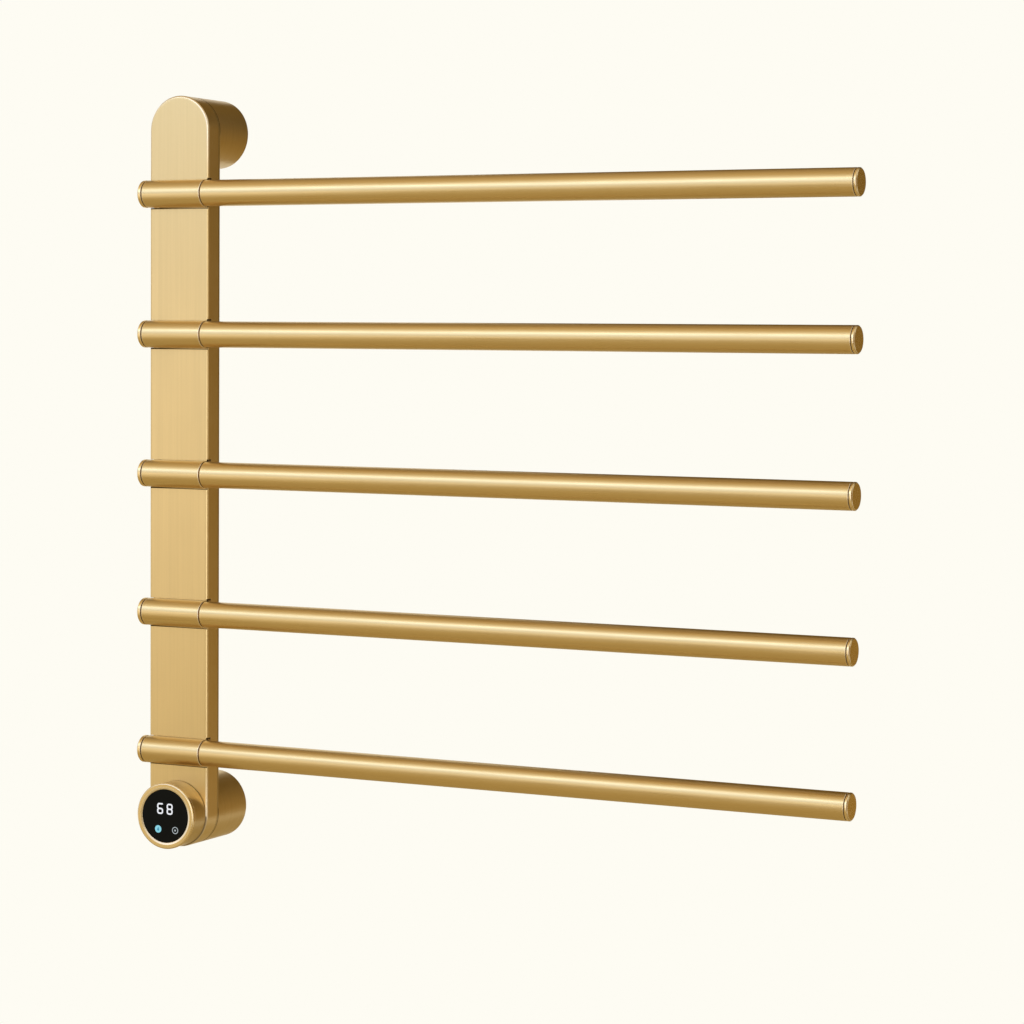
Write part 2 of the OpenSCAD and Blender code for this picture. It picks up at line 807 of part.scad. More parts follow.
for (i = [1 : arm_count]) {
    arm_root(i);
    root_cap(i);
    arm_tube(i);
    end_cap(i);
    arm_heater(i);
    hinge_bush(i);
}
post_shell();
post_back_cover();
back_cover_screws();
saddle_blocks();
hinge_pins();
upper_anchor_block();
lower_anchor_block();
wiring_loom();
thermal_sensor();
upper_standoff();
lower_standoff();
upper_wall_plate();
lower_wall_plate();
grub_screws();
standoff_bolts();
cable_grommet();
terminal_block();
head_housing();
dial_ring();
dial_clip();
dial_magnets();
display_glass();
display_board();
display_module();
control_board();
power_relay();
board_spacers();
board_screws();
head_screws();
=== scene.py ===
"""Visual model of a wall mounted electric towel rail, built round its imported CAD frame.

X runs right along the wall, Y into the wall and Z up. Places in the scene are in metres.
The outlines and the sizes in the classes are in millimetres, where nothing else is said,
and they are those of the CAD solids that the pieces stand for.
"""

import logging
import math
from collections.abc import Iterator, Sequence
from contextlib import contextmanager
from dataclasses import dataclass
from enum import Enum

import bmesh
import bpy
from mathutils import Matrix, Vector
from mathutils.geometry import delaunay_2d_cdt


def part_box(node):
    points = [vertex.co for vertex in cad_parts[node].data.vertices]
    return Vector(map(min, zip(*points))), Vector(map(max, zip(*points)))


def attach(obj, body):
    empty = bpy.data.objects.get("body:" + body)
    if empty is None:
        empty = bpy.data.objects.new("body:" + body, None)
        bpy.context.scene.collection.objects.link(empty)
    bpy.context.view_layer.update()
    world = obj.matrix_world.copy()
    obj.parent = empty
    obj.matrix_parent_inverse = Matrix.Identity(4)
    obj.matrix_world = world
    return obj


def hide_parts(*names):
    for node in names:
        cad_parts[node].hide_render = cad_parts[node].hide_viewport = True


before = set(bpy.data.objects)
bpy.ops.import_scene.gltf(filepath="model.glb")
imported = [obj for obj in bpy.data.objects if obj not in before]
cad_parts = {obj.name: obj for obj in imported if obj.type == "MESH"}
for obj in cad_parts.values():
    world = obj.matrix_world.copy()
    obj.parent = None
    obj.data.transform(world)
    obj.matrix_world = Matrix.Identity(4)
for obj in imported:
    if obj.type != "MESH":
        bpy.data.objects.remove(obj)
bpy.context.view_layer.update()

LOG = logging.getLogger("towel_rail")
Colour = tuple[float, float, float]
Point = tuple[float, float]
Place = tuple[float, float, float]
Piece = bpy.types.Object
Socket = bpy.types.NodeSocket
Outputs = bpy.types.bpy_prop_collection
MM = 0.001
# The mesh mark of rounded edges, on which a highlight is painted.
EDGE = "edge"
# The mesh mark along which shade is painted: in grooves and seams, and where pieces meet.
PAINTED_SHADE = "painted_shade"
ARC_STEPS = 4
ROUND_SEGMENTS = 96
HOLE_SEGMENTS = 48
# Edges sharper than this many degrees are softened where a piece is cut.
CREASE = 50.0
# How near a point lies, in millimetres, to a place that it counts as being on.
NEAR = 0.05
# The radius below which a turned outline ends in a tip, and the distance that is welded.
TIP = 1e-6
WELD = 0.003
# The range that nearly all values of a noise texture lie in, and the full range of a share.
NOISE: Point = (0.3, 0.7)
FULL: Point = (0.0, 1.0)
WHITE: Colour = (1.0, 1.0, 1.0)


class Axis(Enum):
    """Axis that a turned piece runs along."""

    X = 0
    Y = 1
    Z = 2


class Grain(Enum):
    """Which way the fine lines of a metal finish run."""

    ALONG_X = "along X"
    ALONG_Z = "along Z"
    ROUND_X = "round each bar's axis"
    ROUND_Y = "round the axis of a standoff or of the head"
    PLAIN = "no direction"


# Materials


class Nodes:
    """A node tree, with short calls for the nodes that the materials and the world share."""

    def __init__(self, tree: bpy.types.NodeTree) -> None:
        """Empties the tree.

        Args:
            tree: the node tree.
        """
        self.tree = tree
        self.tree.nodes.clear()

    def add(self, kind: str, inputs: dict[int | str, object] | None = None, **options: object) -> Outputs:
        """Adds a node.

        Args:
            kind: the node's type name.
            inputs: for its inputs a socket that is linked, a number, or a colour of three numbers.
            **options: options of the node.

        Returns:
            The node's outputs.
        """
        node = self.tree.nodes.new(kind)
        for key, value in options.items():
            setattr(node, key, value)
        for key, value in (inputs or {}).items():
            self.feed(node, key, value)
        return node.outputs

    def feed(self, node: bpy.types.Node, key: int | str, value: object) -> None:
        """Links a socket to an input, or sets the input where the value isn't a socket.

        Args:
            node: the node.
            key: the input's number or name.
            value: the socket, number or colour.
        """
        socket = node.inputs[key]
        if isinstance(value, Socket):
            self.tree.links.new(value, socket)
        else:
            socket.default_value = (*value, 1.0) if socket.type == "RGBA" else value

    def math(self, operation: str, *values: object) -> Socket:
        """Adds a math node.

        Args:
            operation: the math node's operation.
            *values: its inputs, each a socket or a number.

        Returns:
            The result's socket.
        """
        return self.add("ShaderNodeMath", dict(enumerate(values)), operation=operation)[0]

    def seen(self) -> Socket:
        """Tells rays by which the backdrop is seen from rays that light the object.

        Returns:
            A socket of 1 for rays from the camera, reflections and glass, and otherwise 0.
        """
        rays = self.add("ShaderNodeLightPath")
        either = self.math("MAXIMUM", rays["Is Camera Ray"], rays["Is Glossy Ray"])
        return self.math("MAXIMUM", either, rays["Is Transmission Ray"])


class Shader(Nodes):
    """A material's node tree with one principled surface."""

    def __init__(self, name: str) -> None:
        """Starts the material.

        Args:
            name: the material's name.
        """
        self.material = bpy.data.materials.new(name)
        self.material.use_nodes = True
        super().__init__(self.material.node_tree)
        self.surface = self.tree.nodes.new("ShaderNodeBsdfPrincipled")
        self.output = self.tree.nodes.new("ShaderNodeOutputMaterial")
        self.show(self.surface.outputs[0])
        self.place = self.add("ShaderNodeTexCoord")["Object"]

    def show(self, value: Socket) -> None:
        """Makes a shader's socket the material's surface."""
        self.feed(self.output, "Surface", value)

    def set(self, **values: object) -> None:
        """Sets inputs of the surface, with _ in their names for each space."""
        for key, value in values.items():
            self.feed(self.surface, key.replace("_", " "), value)

    def vector(self, *values: object) -> Socket:
        """Joins three sockets or numbers into a vector."""
        return self.add("ShaderNodeCombineXYZ", dict(enumerate(values)))[0]

    def parts(self) -> Sequence[Socket]:
        """The three parts of the piece's own coordinates."""
        return self.add("ShaderNodeSeparateXYZ", {0: self.place})

    def scaled(self, scale: Place) -> Socket:
        """The piece's own coordinates, multiplied by a scale on each axis."""
        return self.add("ShaderNodeMapping", {"Vector": self.place, "Scale": scale})[0]

    def noise(self, vector: object, scale: float, detail: float = 2.0) -> Socket:
        """Adds a noise texture.

        Args:
            vector: the coordinates' socket.
            scale: how many times finer than the coordinates the noise is.
            detail: how many finer layers it has.

        Returns:
            The noise's value socket.
        """
        inputs = {"Vector": vector, "Scale": scale, "Detail": detail}
        return self.add("ShaderNodeTexNoise", inputs)["Fac"]

    def span(self, value: object, source: Point, target: Point) -> Socket:
        """Maps a socket's range to another range.

        Args:
            value: the socket.
            source: the range that it is read over.
            target: the range that it is mapped to.

        Returns:
            The mapped value's socket.
        """
        return self.add("ShaderNodeMapRange", dict(enumerate((value, *source, *target))))[0]

    def mix(self, share: object, first: object, second: object) -> Socket:
        """Mixes two colours.

        Args:
            share: how much of the second colour there is.
            first: the first colour, three numbers or a socket.
            second: the second colour, three numbers or a socket.

        Returns:
            The mixed colour's socket.
        """
        return self.add("ShaderNodeMix", {0: share, 6: first, 7: second}, data_type="RGBA")[2]

    def sum(self, first: object, second: object, share: float = 1.0) -> Socket:
        """Adds a share of the second value to the first.

        Args:
            first: the first value.
            second: the second value.
            share: its share.

        Returns:
            The sum's socket.
        """
        if share != 1.0:
            second = self.math("MULTIPLY", second, share)
        return self.math("ADD", first, second)

    def bump(self, height: object, strength: float, distance: float) -> None:
        """Gives the surface a bump.

        Args:
            height: the height's socket.
            strength: the bump's strength.
            distance: the height in metres that a value of 1 stands for.
        """
        inputs = {"Strength": strength, "Distance": distance, "Height": height}
        self.set(Normal=self.add("ShaderNodeBump", inputs)[0])

    def mark(self, name: str) -> Socket:
        """How much a point carries a mark, from 0 to 1: the painted highlight of a rounded edge or painted
        shade.
        """
        return self.add("ShaderNodeAttribute", attribute_name=name)["Fac"]


def darker(colour: Colour, share: float) -> Colour:
    """A colour with each part multiplied by a share, and at most 1."""
    return tuple(min(1.0, part * share) for part in colour)


def paler(colour: Colour, share: float) -> Colour:
    """A colour moved towards white by a share."""
    return tuple(part + (1 - part) * share for part in colour)


def deeper(colour: Colour, share: float) -> Colour:
    """The colour times itself, which makes it stronger, times a share."""
    return tuple(share * value * value for value in colour)


@dataclass(frozen=True)
class Finish:
    """A surface finish."""

    name: str
    slot: str  # the name of a material slot, or an empty name
    colour: Colour
    roughness: float  # its mean roughness

    def make(self) -> bpy.types.Material:
        """Makes the finish's material, if it isn't there yet.

        Returns:
            The material.
        """
        found = bpy.data.materials.get(self.name)
        if found is None:
            shader = Shader(self.name)
            self.dress(shader)
            found = shader.material
        return found

    def dress(self, shader: Shader) -> None:
        """Sets the surface of a new material."""
        raise NotImplementedError


@dataclass(frozen=True)
class BrushedMetal(Finish):
    """Metal with fine brush lines and slow blotches, a painted highlight on its rounded edges and painted
    shade in its grooves and joins.
    """

    grain: Grain = Grain.PLAIN  # which way the lines run
    pitch: float = 0.4 * MM  # the lines' spacing in metres
    length: float = 40 * MM  # the lines' length in metres, or their angle in radians where they run round
    contrast: float = 0.1  # how much darker the lines' bottoms are
    spread: float = 0.05  # how far the roughness swings either way
    relief: float = 0.012 * MM  # the depth of the lines in metres
    painted_highlight: float = 0.12  # how much paler its rounded edges are painted: a painted highlight

    BAR_PITCH = 102 * MM
    BAR_Y = -56.5 * MM
    ROUND_Z = 250 * MM
    BAND_SCALE = 0.22
    BAND_SHARE = 0.4
    LINE_RANGE = (0.32, 0.68)
    BLOTCH_SCALE = 22.0
    BLOTCH_TONE = (0.0, 0.35)
    BLOTCH_GLOSS = (-0.02, 0.02)
    BLOTCH_SHADE = 0.95
    # How dark the painted shade makes the colour and the reflections' tint, and how much rougher it makes the
    # surface.
    PAINTED_SHADE_TONE = 0.16
    PAINTED_SHADE_TINT = 0.25
    PAINTED_SHADE_GLOSS = 0.3
    EDGE_GLOSS = 0.06
    BUMP = 0.35

    def lines(self, shader: Shader) -> Socket:
        """Coordinates that are short across the brush lines and long along them.

        Args:
            shader: the material's shader.

        Returns:
            The coordinates' socket.
        """
        fine, long = 1 / self.pitch, 1 / self.length
        straight = {
            Grain.ALONG_X: (long, fine, fine),
            Grain.ALONG_Z: (fine, fine, long),
            Grain.PLAIN: (fine, fine, fine),
        }
        if self.grain in straight:
            return shader.scaled(straight[self.grain])
        x, y, z = shader.parts()
        if self.grain is Grain.ROUND_X:
            half = self.BAR_PITCH / 2
            along, first = x, shader.math("SUBTRACT", y, self.BAR_Y)
            second = shader.math("WRAP", z, half, -half)
        else:
            along, first = y, x
            second = shader.math("SUBTRACT", shader.math("ABSOLUTE", z), self.ROUND_Z)
        squares = [shader.math("POWER", side, 2.0) for side in (first, second)]
        radius = shader.math("SQRT", shader.math("ADD", *squares))
        angle = shader.math("ARCTAN2", second, first)
        return shader.vector(
            shader.math("MULTIPLY", radius, fine),
            shader.math("MULTIPLY", along, fine),
            shader.math("DIVIDE", angle, self.length),
        )

    def dress(self, shader: Shader) -> None:
        """Sets the metal's colour, roughness and bump from its brush lines.

        Args:
            shader: the new material's shader.
        """
        lines = self.lines(shader)
        fine, broad = shader.noise(lines, 1.0, 3.0), shader.noise(lines, self.BAND_SCALE, 1.0)
        blotch = shader.noise(shader.place, self.BLOTCH_SCALE)
        edge, painted_shade = shader.mark(EDGE), shader.mark(PAINTED_SHADE)
        shade = shader.sum(shader.math("MULTIPLY", fine, 1 - self.BAND_SHARE), broad, self.BAND_SHARE)
        clean = shader.span(shade, self.LINE_RANGE, FULL)
        tone = shader.mix(clean, darker(self.colour, 1 - self.contrast), self.colour)
        cloud = shader.span(blotch, NOISE, self.BLOTCH_TONE)
        tone = shader.mix(cloud, tone, darker(self.colour, self.BLOTCH_SHADE))
        # Rounded edges are painted paler towards white: a painted highlight.
        tone = shader.mix(edge, tone, paler(self.colour, self.painted_highlight))
        # Grooves and joins are painted darker, in colour and in the reflections' tint: painted shade.
        tone = shader.mix(painted_shade, tone, deeper(self.colour, self.PAINTED_SHADE_TONE))
        rim = shader.mix(painted_shade, WHITE, deeper(self.colour, self.PAINTED_SHADE_TINT))
        gloss = shader.span(shade, NOISE, (self.roughness + self.spread, self.roughness - self.spread))
        gloss = shader.sum(gloss, shader.span(blotch, NOISE, self.BLOTCH_GLOSS))
        gloss = shader.sum(gloss, painted_shade, self.PAINTED_SHADE_GLOSS)
        gloss = shader.math("SUBTRACT", gloss, shader.math("MULTIPLY", edge, self.EDGE_GLOSS))
        shader.set(Base_Color=tone, Specular_Tint=rim, Roughness=gloss, Metallic=1.0)
        shader.bump(shade, self.BUMP, self.relief)


@dataclass(frozen=True)
class Moulded(Finish):
    """Moulded plastic, rubber or a coated board, with a fine grain."""

    pitch: float = 0.5 * MM  # the grain's size in metres
    contrast: float = 0.18  # how much darker its hollows are

    CLOUD_SCALE = 60.0
    CLOUD_SHARE = 0.2
    CLOUD_SHADE = 0.85
    SPREAD = 0.06
    BUMP = 0.3
    RELIEF = 0.03 * MM

    def dress(self, shader: Shader) -> None:
        """Sets the colour, roughness and bump from the grain.

        Args:
            shader: the new material's shader.
        """
        grain = shader.noise(shader.place, 1 / self.pitch)
        cloud = shader.noise(shader.place, self.CLOUD_SCALE)
        clean = shader.span(grain, NOISE, FULL)
        tone = shader.mix(clean, darker(self.colour, 1 - self.contrast), self.colour)
        dull = shader.math("MULTIPLY", cloud, self.CLOUD_SHARE)
        tone = shader.mix(dull, tone, darker(self.colour, self.CLOUD_SHADE))
        gloss = shader.span(grain, NOISE, (self.roughness - self.SPREAD, self.roughness + self.SPREAD))
        shader.set(Base_Color=tone, Roughness=gloss)
        shader.bump(grain, self.BUMP, self.RELIEF)


@dataclass(frozen=True)
class TintedGlass(Finish):
    """Black display glass with faint wiping marks in its gloss."""

    WIPE_SCALE = (160.0, 160.0, 420.0)
    WIPE_RANGE = (0.35, 0.65)
    WIPE_GLOSS = 0.07
    WIPE_SHADE = 1.35
    MIRROR = 0.05

    def dress(self, shader: Shader) -> None:
        """Sets the glass's colour and its gloss.

        Args:
            shader: the new material's shader.
        """
        wipe = shader.noise(shader.scaled(self.WIPE_SCALE), 1.0, 3.0)
        tone = shader.mix(wipe, self.colour, darker(self.colour, self.WIPE_SHADE))
        gloss = shader.span(wipe, self.WIPE_RANGE, (self.roughness, self.roughness + self.WIPE_GLOSS))
        shader.set(Base_Color=tone, Roughness=gloss, Specular_IOR_Level=self.MIRROR)


@dataclass(frozen=True)
class Lit(Finish):
    """A lit mark of the display, a little uneven like the light of its diodes."""

    strength: float = 0.9  # how bright it is

    CLOUD_SCALE = 1400.0
    CLOUD_RANGE = (0.35, 0.65)
    CLOUD_SHADE = 0.9
    COVER = ((0.02, 0.02, 0.02), (0.03, 0.03, 0.03))

    def dress(self, shader: Shader) -> None:
        """Sets the mark's own light and its dull cover.

        Args:
            shader: the new material's shader.
        """
        cloud = shader.noise(shader.place, self.CLOUD_SCALE)
        even = shader.span(cloud, self.CLOUD_RANGE, FULL)
        glow = shader.mix(even, darker(self.colour, self.CLOUD_SHADE), self.colour)
        shader.set(Base_Color=shader.mix(cloud, *self.COVER), Roughness=self.roughness)
        shader.set(Emission_Color=glow, Emission_Strength=self.strength)


GOLD: Colour = (0.70, 0.51, 0.235)
POST_FACE = BrushedMetal(
    "gold_post", "brushed_gold", GOLD, 0.34, Grain.ALONG_Z, 0.45 * MM, 60 * MM, contrast=0.065, painted_highlight=0.3
)
BAR_GOLD = BrushedMetal(
    "gold_bar", "brushed_gold", GOLD, 0.31, Grain.ALONG_X, 0.45 * MM, 45 * MM, painted_highlight=0.35
)
# The housing's gold is the brushed gold made darker all over: painted shade.
ROUND_GOLD = BrushedMetal(
    "gold_turned", "brushed_gold", darker(GOLD, 0.87), 0.33, Grain.ROUND_Y, length=0.5
)
SLEEVE_GOLD = BrushedMetal(
    "gold_sleeve", "dark_gold", darker(GOLD, 0.95), 0.35, Grain.ROUND_Y, 0.45 * MM, 0.6
)
COVER_GOLD = BrushedMetal(
    "gold_cover", "dark_gold", darker(GOLD, 0.8), 0.38, Grain.ALONG_Z, 0.5 * MM, 60 * MM
)
CAP_GOLD = BrushedMetal(
    "gold_cap", "polished_gold", darker(GOLD, 1.12), 0.26, Grain.ROUND_X, 0.3 * MM, 0.8,
    contrast=0.06, relief=0.004 * MM, painted_highlight=0.35,
)
RING_GOLD = BrushedMetal(
    "gold_ring", "polished_gold", darker(GOLD, 1.04), 0.27, Grain.ROUND_Y, 0.3 * MM, 0.8, painted_highlight=0.4
)
STEEL = BrushedMetal("plated_steel", "steel", (0.55, 0.55, 0.53), 0.32, pitch=0.6 * MM)
ALLOY = BrushedMetal("cast_alloy", "alloy", (0.3, 0.29, 0.27), 0.45, pitch=1.1 * MM, contrast=0.2)
SADDLE_GOLD = BrushedMetal(
    "saddle_alloy", "alloy", (0.46, 0.33, 0.16), 0.42, Grain.ALONG_X, 0.5 * MM, 20 * MM
)
BRONZE = BrushedMetal("bush_bronze", "bush_bronze", (0.48, 0.3, 0.12), 0.36, pitch=0.5 * MM)
HEATER = BrushedMetal("heater_sheath", "heater_steel", (0.4, 0.39, 0.37), 0.4, Grain.ALONG_X)
BLACK_PLASTIC = Moulded("black_plastic", "black_plastic", (0.02, 0.02, 0.021), 0.5)
PALE_PLASTIC = Moulded("pale_plastic", "pale_plastic", (0.74, 0.72, 0.66), 0.45, 0.8 * MM, 0.08)
BLUE_PLASTIC = Moulded("blue_plastic", "blue_plastic", (0.03, 0.08, 0.3), 0.4)
BOARD_GREEN = Moulded("board_green", "board_green", (0.01, 0.09, 0.035), 0.35, 0.9 * MM, 0.45)
RUBBER = Moulded("rubber", "rubber", (0.025, 0.025, 0.025), 0.75, 0.4 * MM, 0.3)
GLASS = TintedGlass("display_glass", "black_glass", (0.0062, 0.0065, 0.0058), 0.09)
WHITE_LIGHT = Lit("lit_white", "", (0.93, 0.95, 1.0), 0.4, 0.95)
CYAN_LIGHT = Lit("lit_cyan", "", (0.25, 0.71, 0.84), 0.4, 0.9)
DEEP_CYAN = Lit("lit_deep_cyan", "", (0.03, 0.3, 0.48), 0.4, 0.9)
GREY_LIGHT = Lit("lit_grey", "", (0.5, 0.57, 0.6), 0.4, 0.85)


# Meshes


@dataclass(frozen=True)
class Corner:
    """A corner of an outline."""

    u: float  # its first coordinate, in millimetres
    v: float  # its second coordinate, in millimetres
    rounding: float = 0.0  # how far from the corner the rounding starts, in millimetres
    painted_shade: float = 0.0  # how much shade is painted on it, from 0 to 1, in a groove or where it meets another piece
    polished_and_highlighted: bool = False  # whether it is polished and gets the same painted highlight as a rounded edge


@dataclass(frozen=True)
class Spot:
    """A point of an outline with its corners rounded."""

    u: float  # its first coordinate, in millimetres
    v: float  # its second coordinate, in millimetres
    edge: float = 0.0  # 1 inside a rounding or at a polished corner, where a highlight is painted, and otherwise 0
    painted_shade: float = 0.0  # how much shade is painted on it, from 0 to 1


def rounded(corners: Sequence[Corner], closed: bool, steps: int = ARC_STEPS) -> list[Spot]:
    """Rounds the corners of an outline.

    Args:
        corners: the outline's corners in order.
        closed: whether the last corner joins the first.
        steps: how many pieces each rounding has.

    Returns:
        The points in order.
    """
    points: list[Spot] = []
    count = len(corners)
    for index, corner in enumerate(corners):
        here = Vector((corner.u, corner.v))
        if corner.rounding <= 0 or (not closed and index in (0, count - 1)):
            points.append(Spot(here.x, here.y, float(corner.polished_and_highlighted), corner.painted_shade))
            continue
        before, after = corners[index - 1], corners[(index + 1) % count]
        back = (Vector((before.u, before.v)) - here).normalized()
        ahead = (Vector((after.u, after.v)) - here).normalized()
        half = back.angle(ahead) / 2
        centre = here + (back + ahead).normalized() * (corner.rounding / math.cos(half))
        start = here + back * corner.rounding - centre
        end = here + ahead * corner.rounding - centre
        turn = math.pi - 2 * half
        for step in range(steps + 1):
            share = step / steps
            spot = centre + (
                start * math.sin((1 - share) * turn) + end * math.sin(share * turn)
            ) / math.sin(turn)
            inside = 0 < step < steps
            edge = float(corner.polished_and_highlighted or inside)
            points.append(Spot(spot.x, spot.y, edge, corner.painted_shade if inside else 0.0))
    return points


def new_piece(name: str, mesh: bmesh.types.BMesh) -> Piece:
    """Makes an object of a mesh, with its faces turned outwards.

    Args:
        name: the object's name.
        mesh: the mesh, which is freed.

    Returns:
        The object, in the scene.
    """
    bmesh.ops.recalc_face_normals(mesh, faces=mesh.faces)
    data = bpy.data.meshes.new(name)
    mesh.to_mesh(data)
    mesh.free()
    piece = bpy.data.objects.new(name, data)
    bpy.context.scene.collection.objects.link(piece)
    return piece


def skinned(
    name: str, spots: Sequence[Spot], rings: Sequence[Sequence[Place]], closed: bool = False
) -> Piece:
    """Stretches faces between rings of points.

    Args:
        name: the piece's name.
        spots: for each ring the point of the outline that it comes from.
        rings: for each ring its points in metres, or the one point of a tip.
        closed: whether the last ring joins the first. Otherwise both are capped.

    Returns:
        The piece.
    """
    mesh = bmesh.new()
    edge, painted_shade = [mesh.verts.layers.float.new(mark) for mark in (EDGE, PAINTED_SHADE)]
    loops = []
    for spot, ring in zip(spots, rings):
        loops.append([mesh.verts.new(place) for place in ring])
        for vert in loops[-1]:
            vert[edge], vert[painted_shade] = spot.edge, spot.painted_shade
    for first, second in zip(loops, loops[1:] + (loops[:1] if closed else [])):
        count = max(len(first), len(second))
        for step in range(count):
            after = (step + 1) % count
            corners = [first[step % len(first)], second[step % len(second)]]
            corners += [loop[after] for loop in (second, first) if len(loop) > 1]
            mesh.faces.new(corners)
    for loop in (loops[0], loops[-1]):
        if not closed and len(loop) > 1:
            mesh.faces.new(loop)
    return new_piece(name, mesh)


def turned(
    name: str,
    corners: Sequence[Corner],
    axis: Axis,
    centre: Sequence[float],
    closed: bool = False,
    segments: int = ROUND_SEGMENTS,
) -> Piece:
    """Turns an outline round an axis.

    Args:
        name: the piece's name.
        corners: the outline: u is the place along the axis and v the radius.
        axis: the axis it is turned round.
        centre: a point on the axis, in metres.
        closed: whether the outline is a closed loop, as of a tube.
        segments: how many segments a full turn has.

    Returns:
        The piece.
    """
    order = {Axis.X: (0, 1, 2), Axis.Y: (1, 0, 2), Axis.Z: (2, 0, 1)}[axis]
    spots = rounded(corners, closed)
    rings = []
    for spot in spots:
        ring = []
        for step in range(segments if spot.v > TIP else 1):
            angle = 2 * math.pi * step / segments
            local = (spot.u * MM, spot.v * MM * math.cos(angle), spot.v * MM * math.sin(angle))
            place = [0.0, 0.0, 0.0]
            for source, target in enumerate(order):
                place[target] = local[source] + centre[target]
            ring.append(tuple(place))
        rings.append(ring)
    return skinned(name, spots, rings, closed)


def round_ended(name: str, half_z: float, loops: Sequence[Corner], steps: int = 48) -> Piece:
    """Builds a closed body from outlines with two straight sides and two round ends.

    Args:
        name: the piece's name.
        half_z: the height of the upper round end's centre.
        loops: the profile: u is the depth Y and v the outline's half width.
        steps: how many segments each round end has.

    Returns:
        The piece, capped at its first and last outline.
    """
    spots = rounded(loops, False)
    turns = [
        (math.pi * (side + step / steps), middle)
        for side, middle in enumerate((half_z, -half_z))
        for step in range(steps + 1)
    ]
    rings = [
        [
            (spot.v * math.cos(angle) * MM, spot.u * MM, (spot.v * math.sin(angle) + middle) * MM)
            for angle, middle in turns
        ]
        for spot in spots
    ]
    return skinned(name, spots, rings)


def rod(
    name: str,
    ends: Point,
    radius: float,
    axis: Axis,
    centre: Sequence[float],
    segments: int = HOLE_SEGMENTS,
) -> Piece:
    """A round cutter.

    Args:
        name: the cutter's name.
        ends: where it starts and ends along its axis, from its centre.
        radius: its radius.
        axis: the axis that it runs along.
        centre: a point on its axis, in metres.
        segments: how many segments a full turn has.

    Returns:
        The cutter.
    """
    start, end = ends
    outline = (Corner(start, 0), Corner(start, radius), Corner(end, radius), Corner(end, 0))
    return turned(name, outline, axis, centre, segments=segments)


def block(name: str, low: Sequence[float], high: Sequence[float]) -> Piece:
    """Makes a cutter with square corners.

    Args:
        name: its name.
        low: its lowest corner.
        high: its highest corner.

    Returns:
        The cutter.
    """
    mesh = bmesh.new()
    bmesh.ops.create_cube(mesh, size=1.0)
    for vert in mesh.verts:
        vert.co = Vector([(a + b) / 2 + c * (b - a) for a, b, c in zip(low, high, vert.co)]) * MM
    return new_piece(name, mesh)


def settle(piece: Piece) -> None:
    """Turns a piece's modifiers into its own mesh.

    Args:
        piece: the piece.
    """
    bpy.context.view_layer.update()
    graph = bpy.context.evaluated_depsgraph_get()
    shaped = bpy.data.meshes.new_from_object(piece.evaluated_get(graph))
    piece.modifiers.clear()
    old = piece.data
    piece.data = shaped
    bpy.data.meshes.remove(old)


@contextmanager
def opened(piece: Piece) -> Iterator[bmesh.types.BMesh]:
    """Opens a piece's mesh for changes, and writes it back.

    Args:
        piece: the piece.

    Returns:
        The mesh while it is open.
    """
    mesh = bmesh.new()
    mesh.from_mesh(piece.data)
    yield mesh
    mesh.to_mesh(piece.data)
    mesh.free()


def split_across(piece: Piece, heights: Sequence[float]) -> None:
    """Adds a line of edges round a piece at each height, so that marks beside it don't spread past it.

    Args:
        piece: the piece.
        heights: the heights.
    """
    with opened(piece) as mesh:
        for height in heights:
            parts = [*mesh.verts, *mesh.edges, *mesh.faces]
            bmesh.ops.bisect_plane(
                mesh, geom=parts, dist=1e-7, plane_co=(0, 0, height * MM), plane_no=(0, 0, 1)
            )


def cut(piece: Piece, cutters: Sequence[Piece], soft: float) -> None:
    """Cuts holes in a piece, softens its edges, and welds what lies closer together than can be seen.

    Args:
        piece: the piece.
        cutters: the bodies that are taken away, which are then deleted.
        soft: the width of the small bevel round the new edges.
    """
    for cutter in cutters:
        modifier = piece.modifiers.new(cutter.name, "BOOLEAN")
        modifier.operation = "DIFFERENCE"
        modifier.solver = "EXACT"
        modifier.object = cutter
    settle(piece)
    for cutter in cutters:
        bpy.data.objects.remove(cutter)
    bevel = piece.modifiers.new("soft_edges", "BEVEL")
    bevel.limit_method = "ANGLE"
    bevel.angle_limit = math.radians(CREASE)
    bevel.width = soft * MM
    bevel.segments = 2
    bevel.use_clamp_overlap = True
    settle(piece)
    with opened(piece) as mesh:
        bmesh.ops.remove_doubles(mesh, verts=mesh.verts, dist=WELD * MM)
        bmesh.ops.dissolve_degenerate(mesh, edges=mesh.edges, dist=WELD * MM)


def dress(piece: Piece, finish: Finish, body: str, nodes: Sequence[str] = ()) -> None:
    """Shades a piece, gives it its finish and puts it on its body.

    Args:
        piece: the piece, in place.
        finish: its finish.
        body: the CAD body that it moves with.
        nodes: the CAD nodes that it stands for.
    """
    piece.data.shade_smooth()
    weigh = piece.modifiers.new("flat_faces", "WEIGHTED_NORMAL")
    weigh.keep_sharp = True
    piece.data.materials.clear()
    piece.data.materials.append(finish.make())
    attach(piece, body)
    if nodes:
        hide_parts(*nodes)
    LOG.info("%s: %d vertices, on %s", piece.name, len(piece.data.vertices), body)


# Sub-assemblies


class TurnedPieces:
    """A sub-assembly whose pieces are turned round one axis."""

    axis = Axis.Y
    body = "post"
    segments = ROUND_SEGMENTS

    @property
    def centre(self) -> Place:
        """A point on the axis, in metres."""
        raise NotImplementedError

    def make(
        self,
        node: str,
        corners: Sequence[Corner],
        finish: Finish,
        body: str = "",
        closed: bool = False,
        cutters: Sequence[Piece] = (),
        soft: float = 0.1,
    ) -> None:
        """Turns the piece that stands for a CAD node, cuts its holes and dresses it.

        Args:
            node: the CAD node.
            corners: the outline: u is the place along the axis and v the radius.
            finish: its finish.
            body: the CAD body that it moves with, where that isn't the sub-assembly's own.
            closed: whether the outline is a closed loop.
            cutters: the bodies that are taken away.
            soft: the width of the small bevel round its edges, where it is cut.
        """
        piece = turned(f"{node}_turned", corners, self.axis, self.centre, closed, self.segments)
        if cutters:
            cut(piece, cutters, soft)
        dress(piece, finish, body or self.body, (node,))


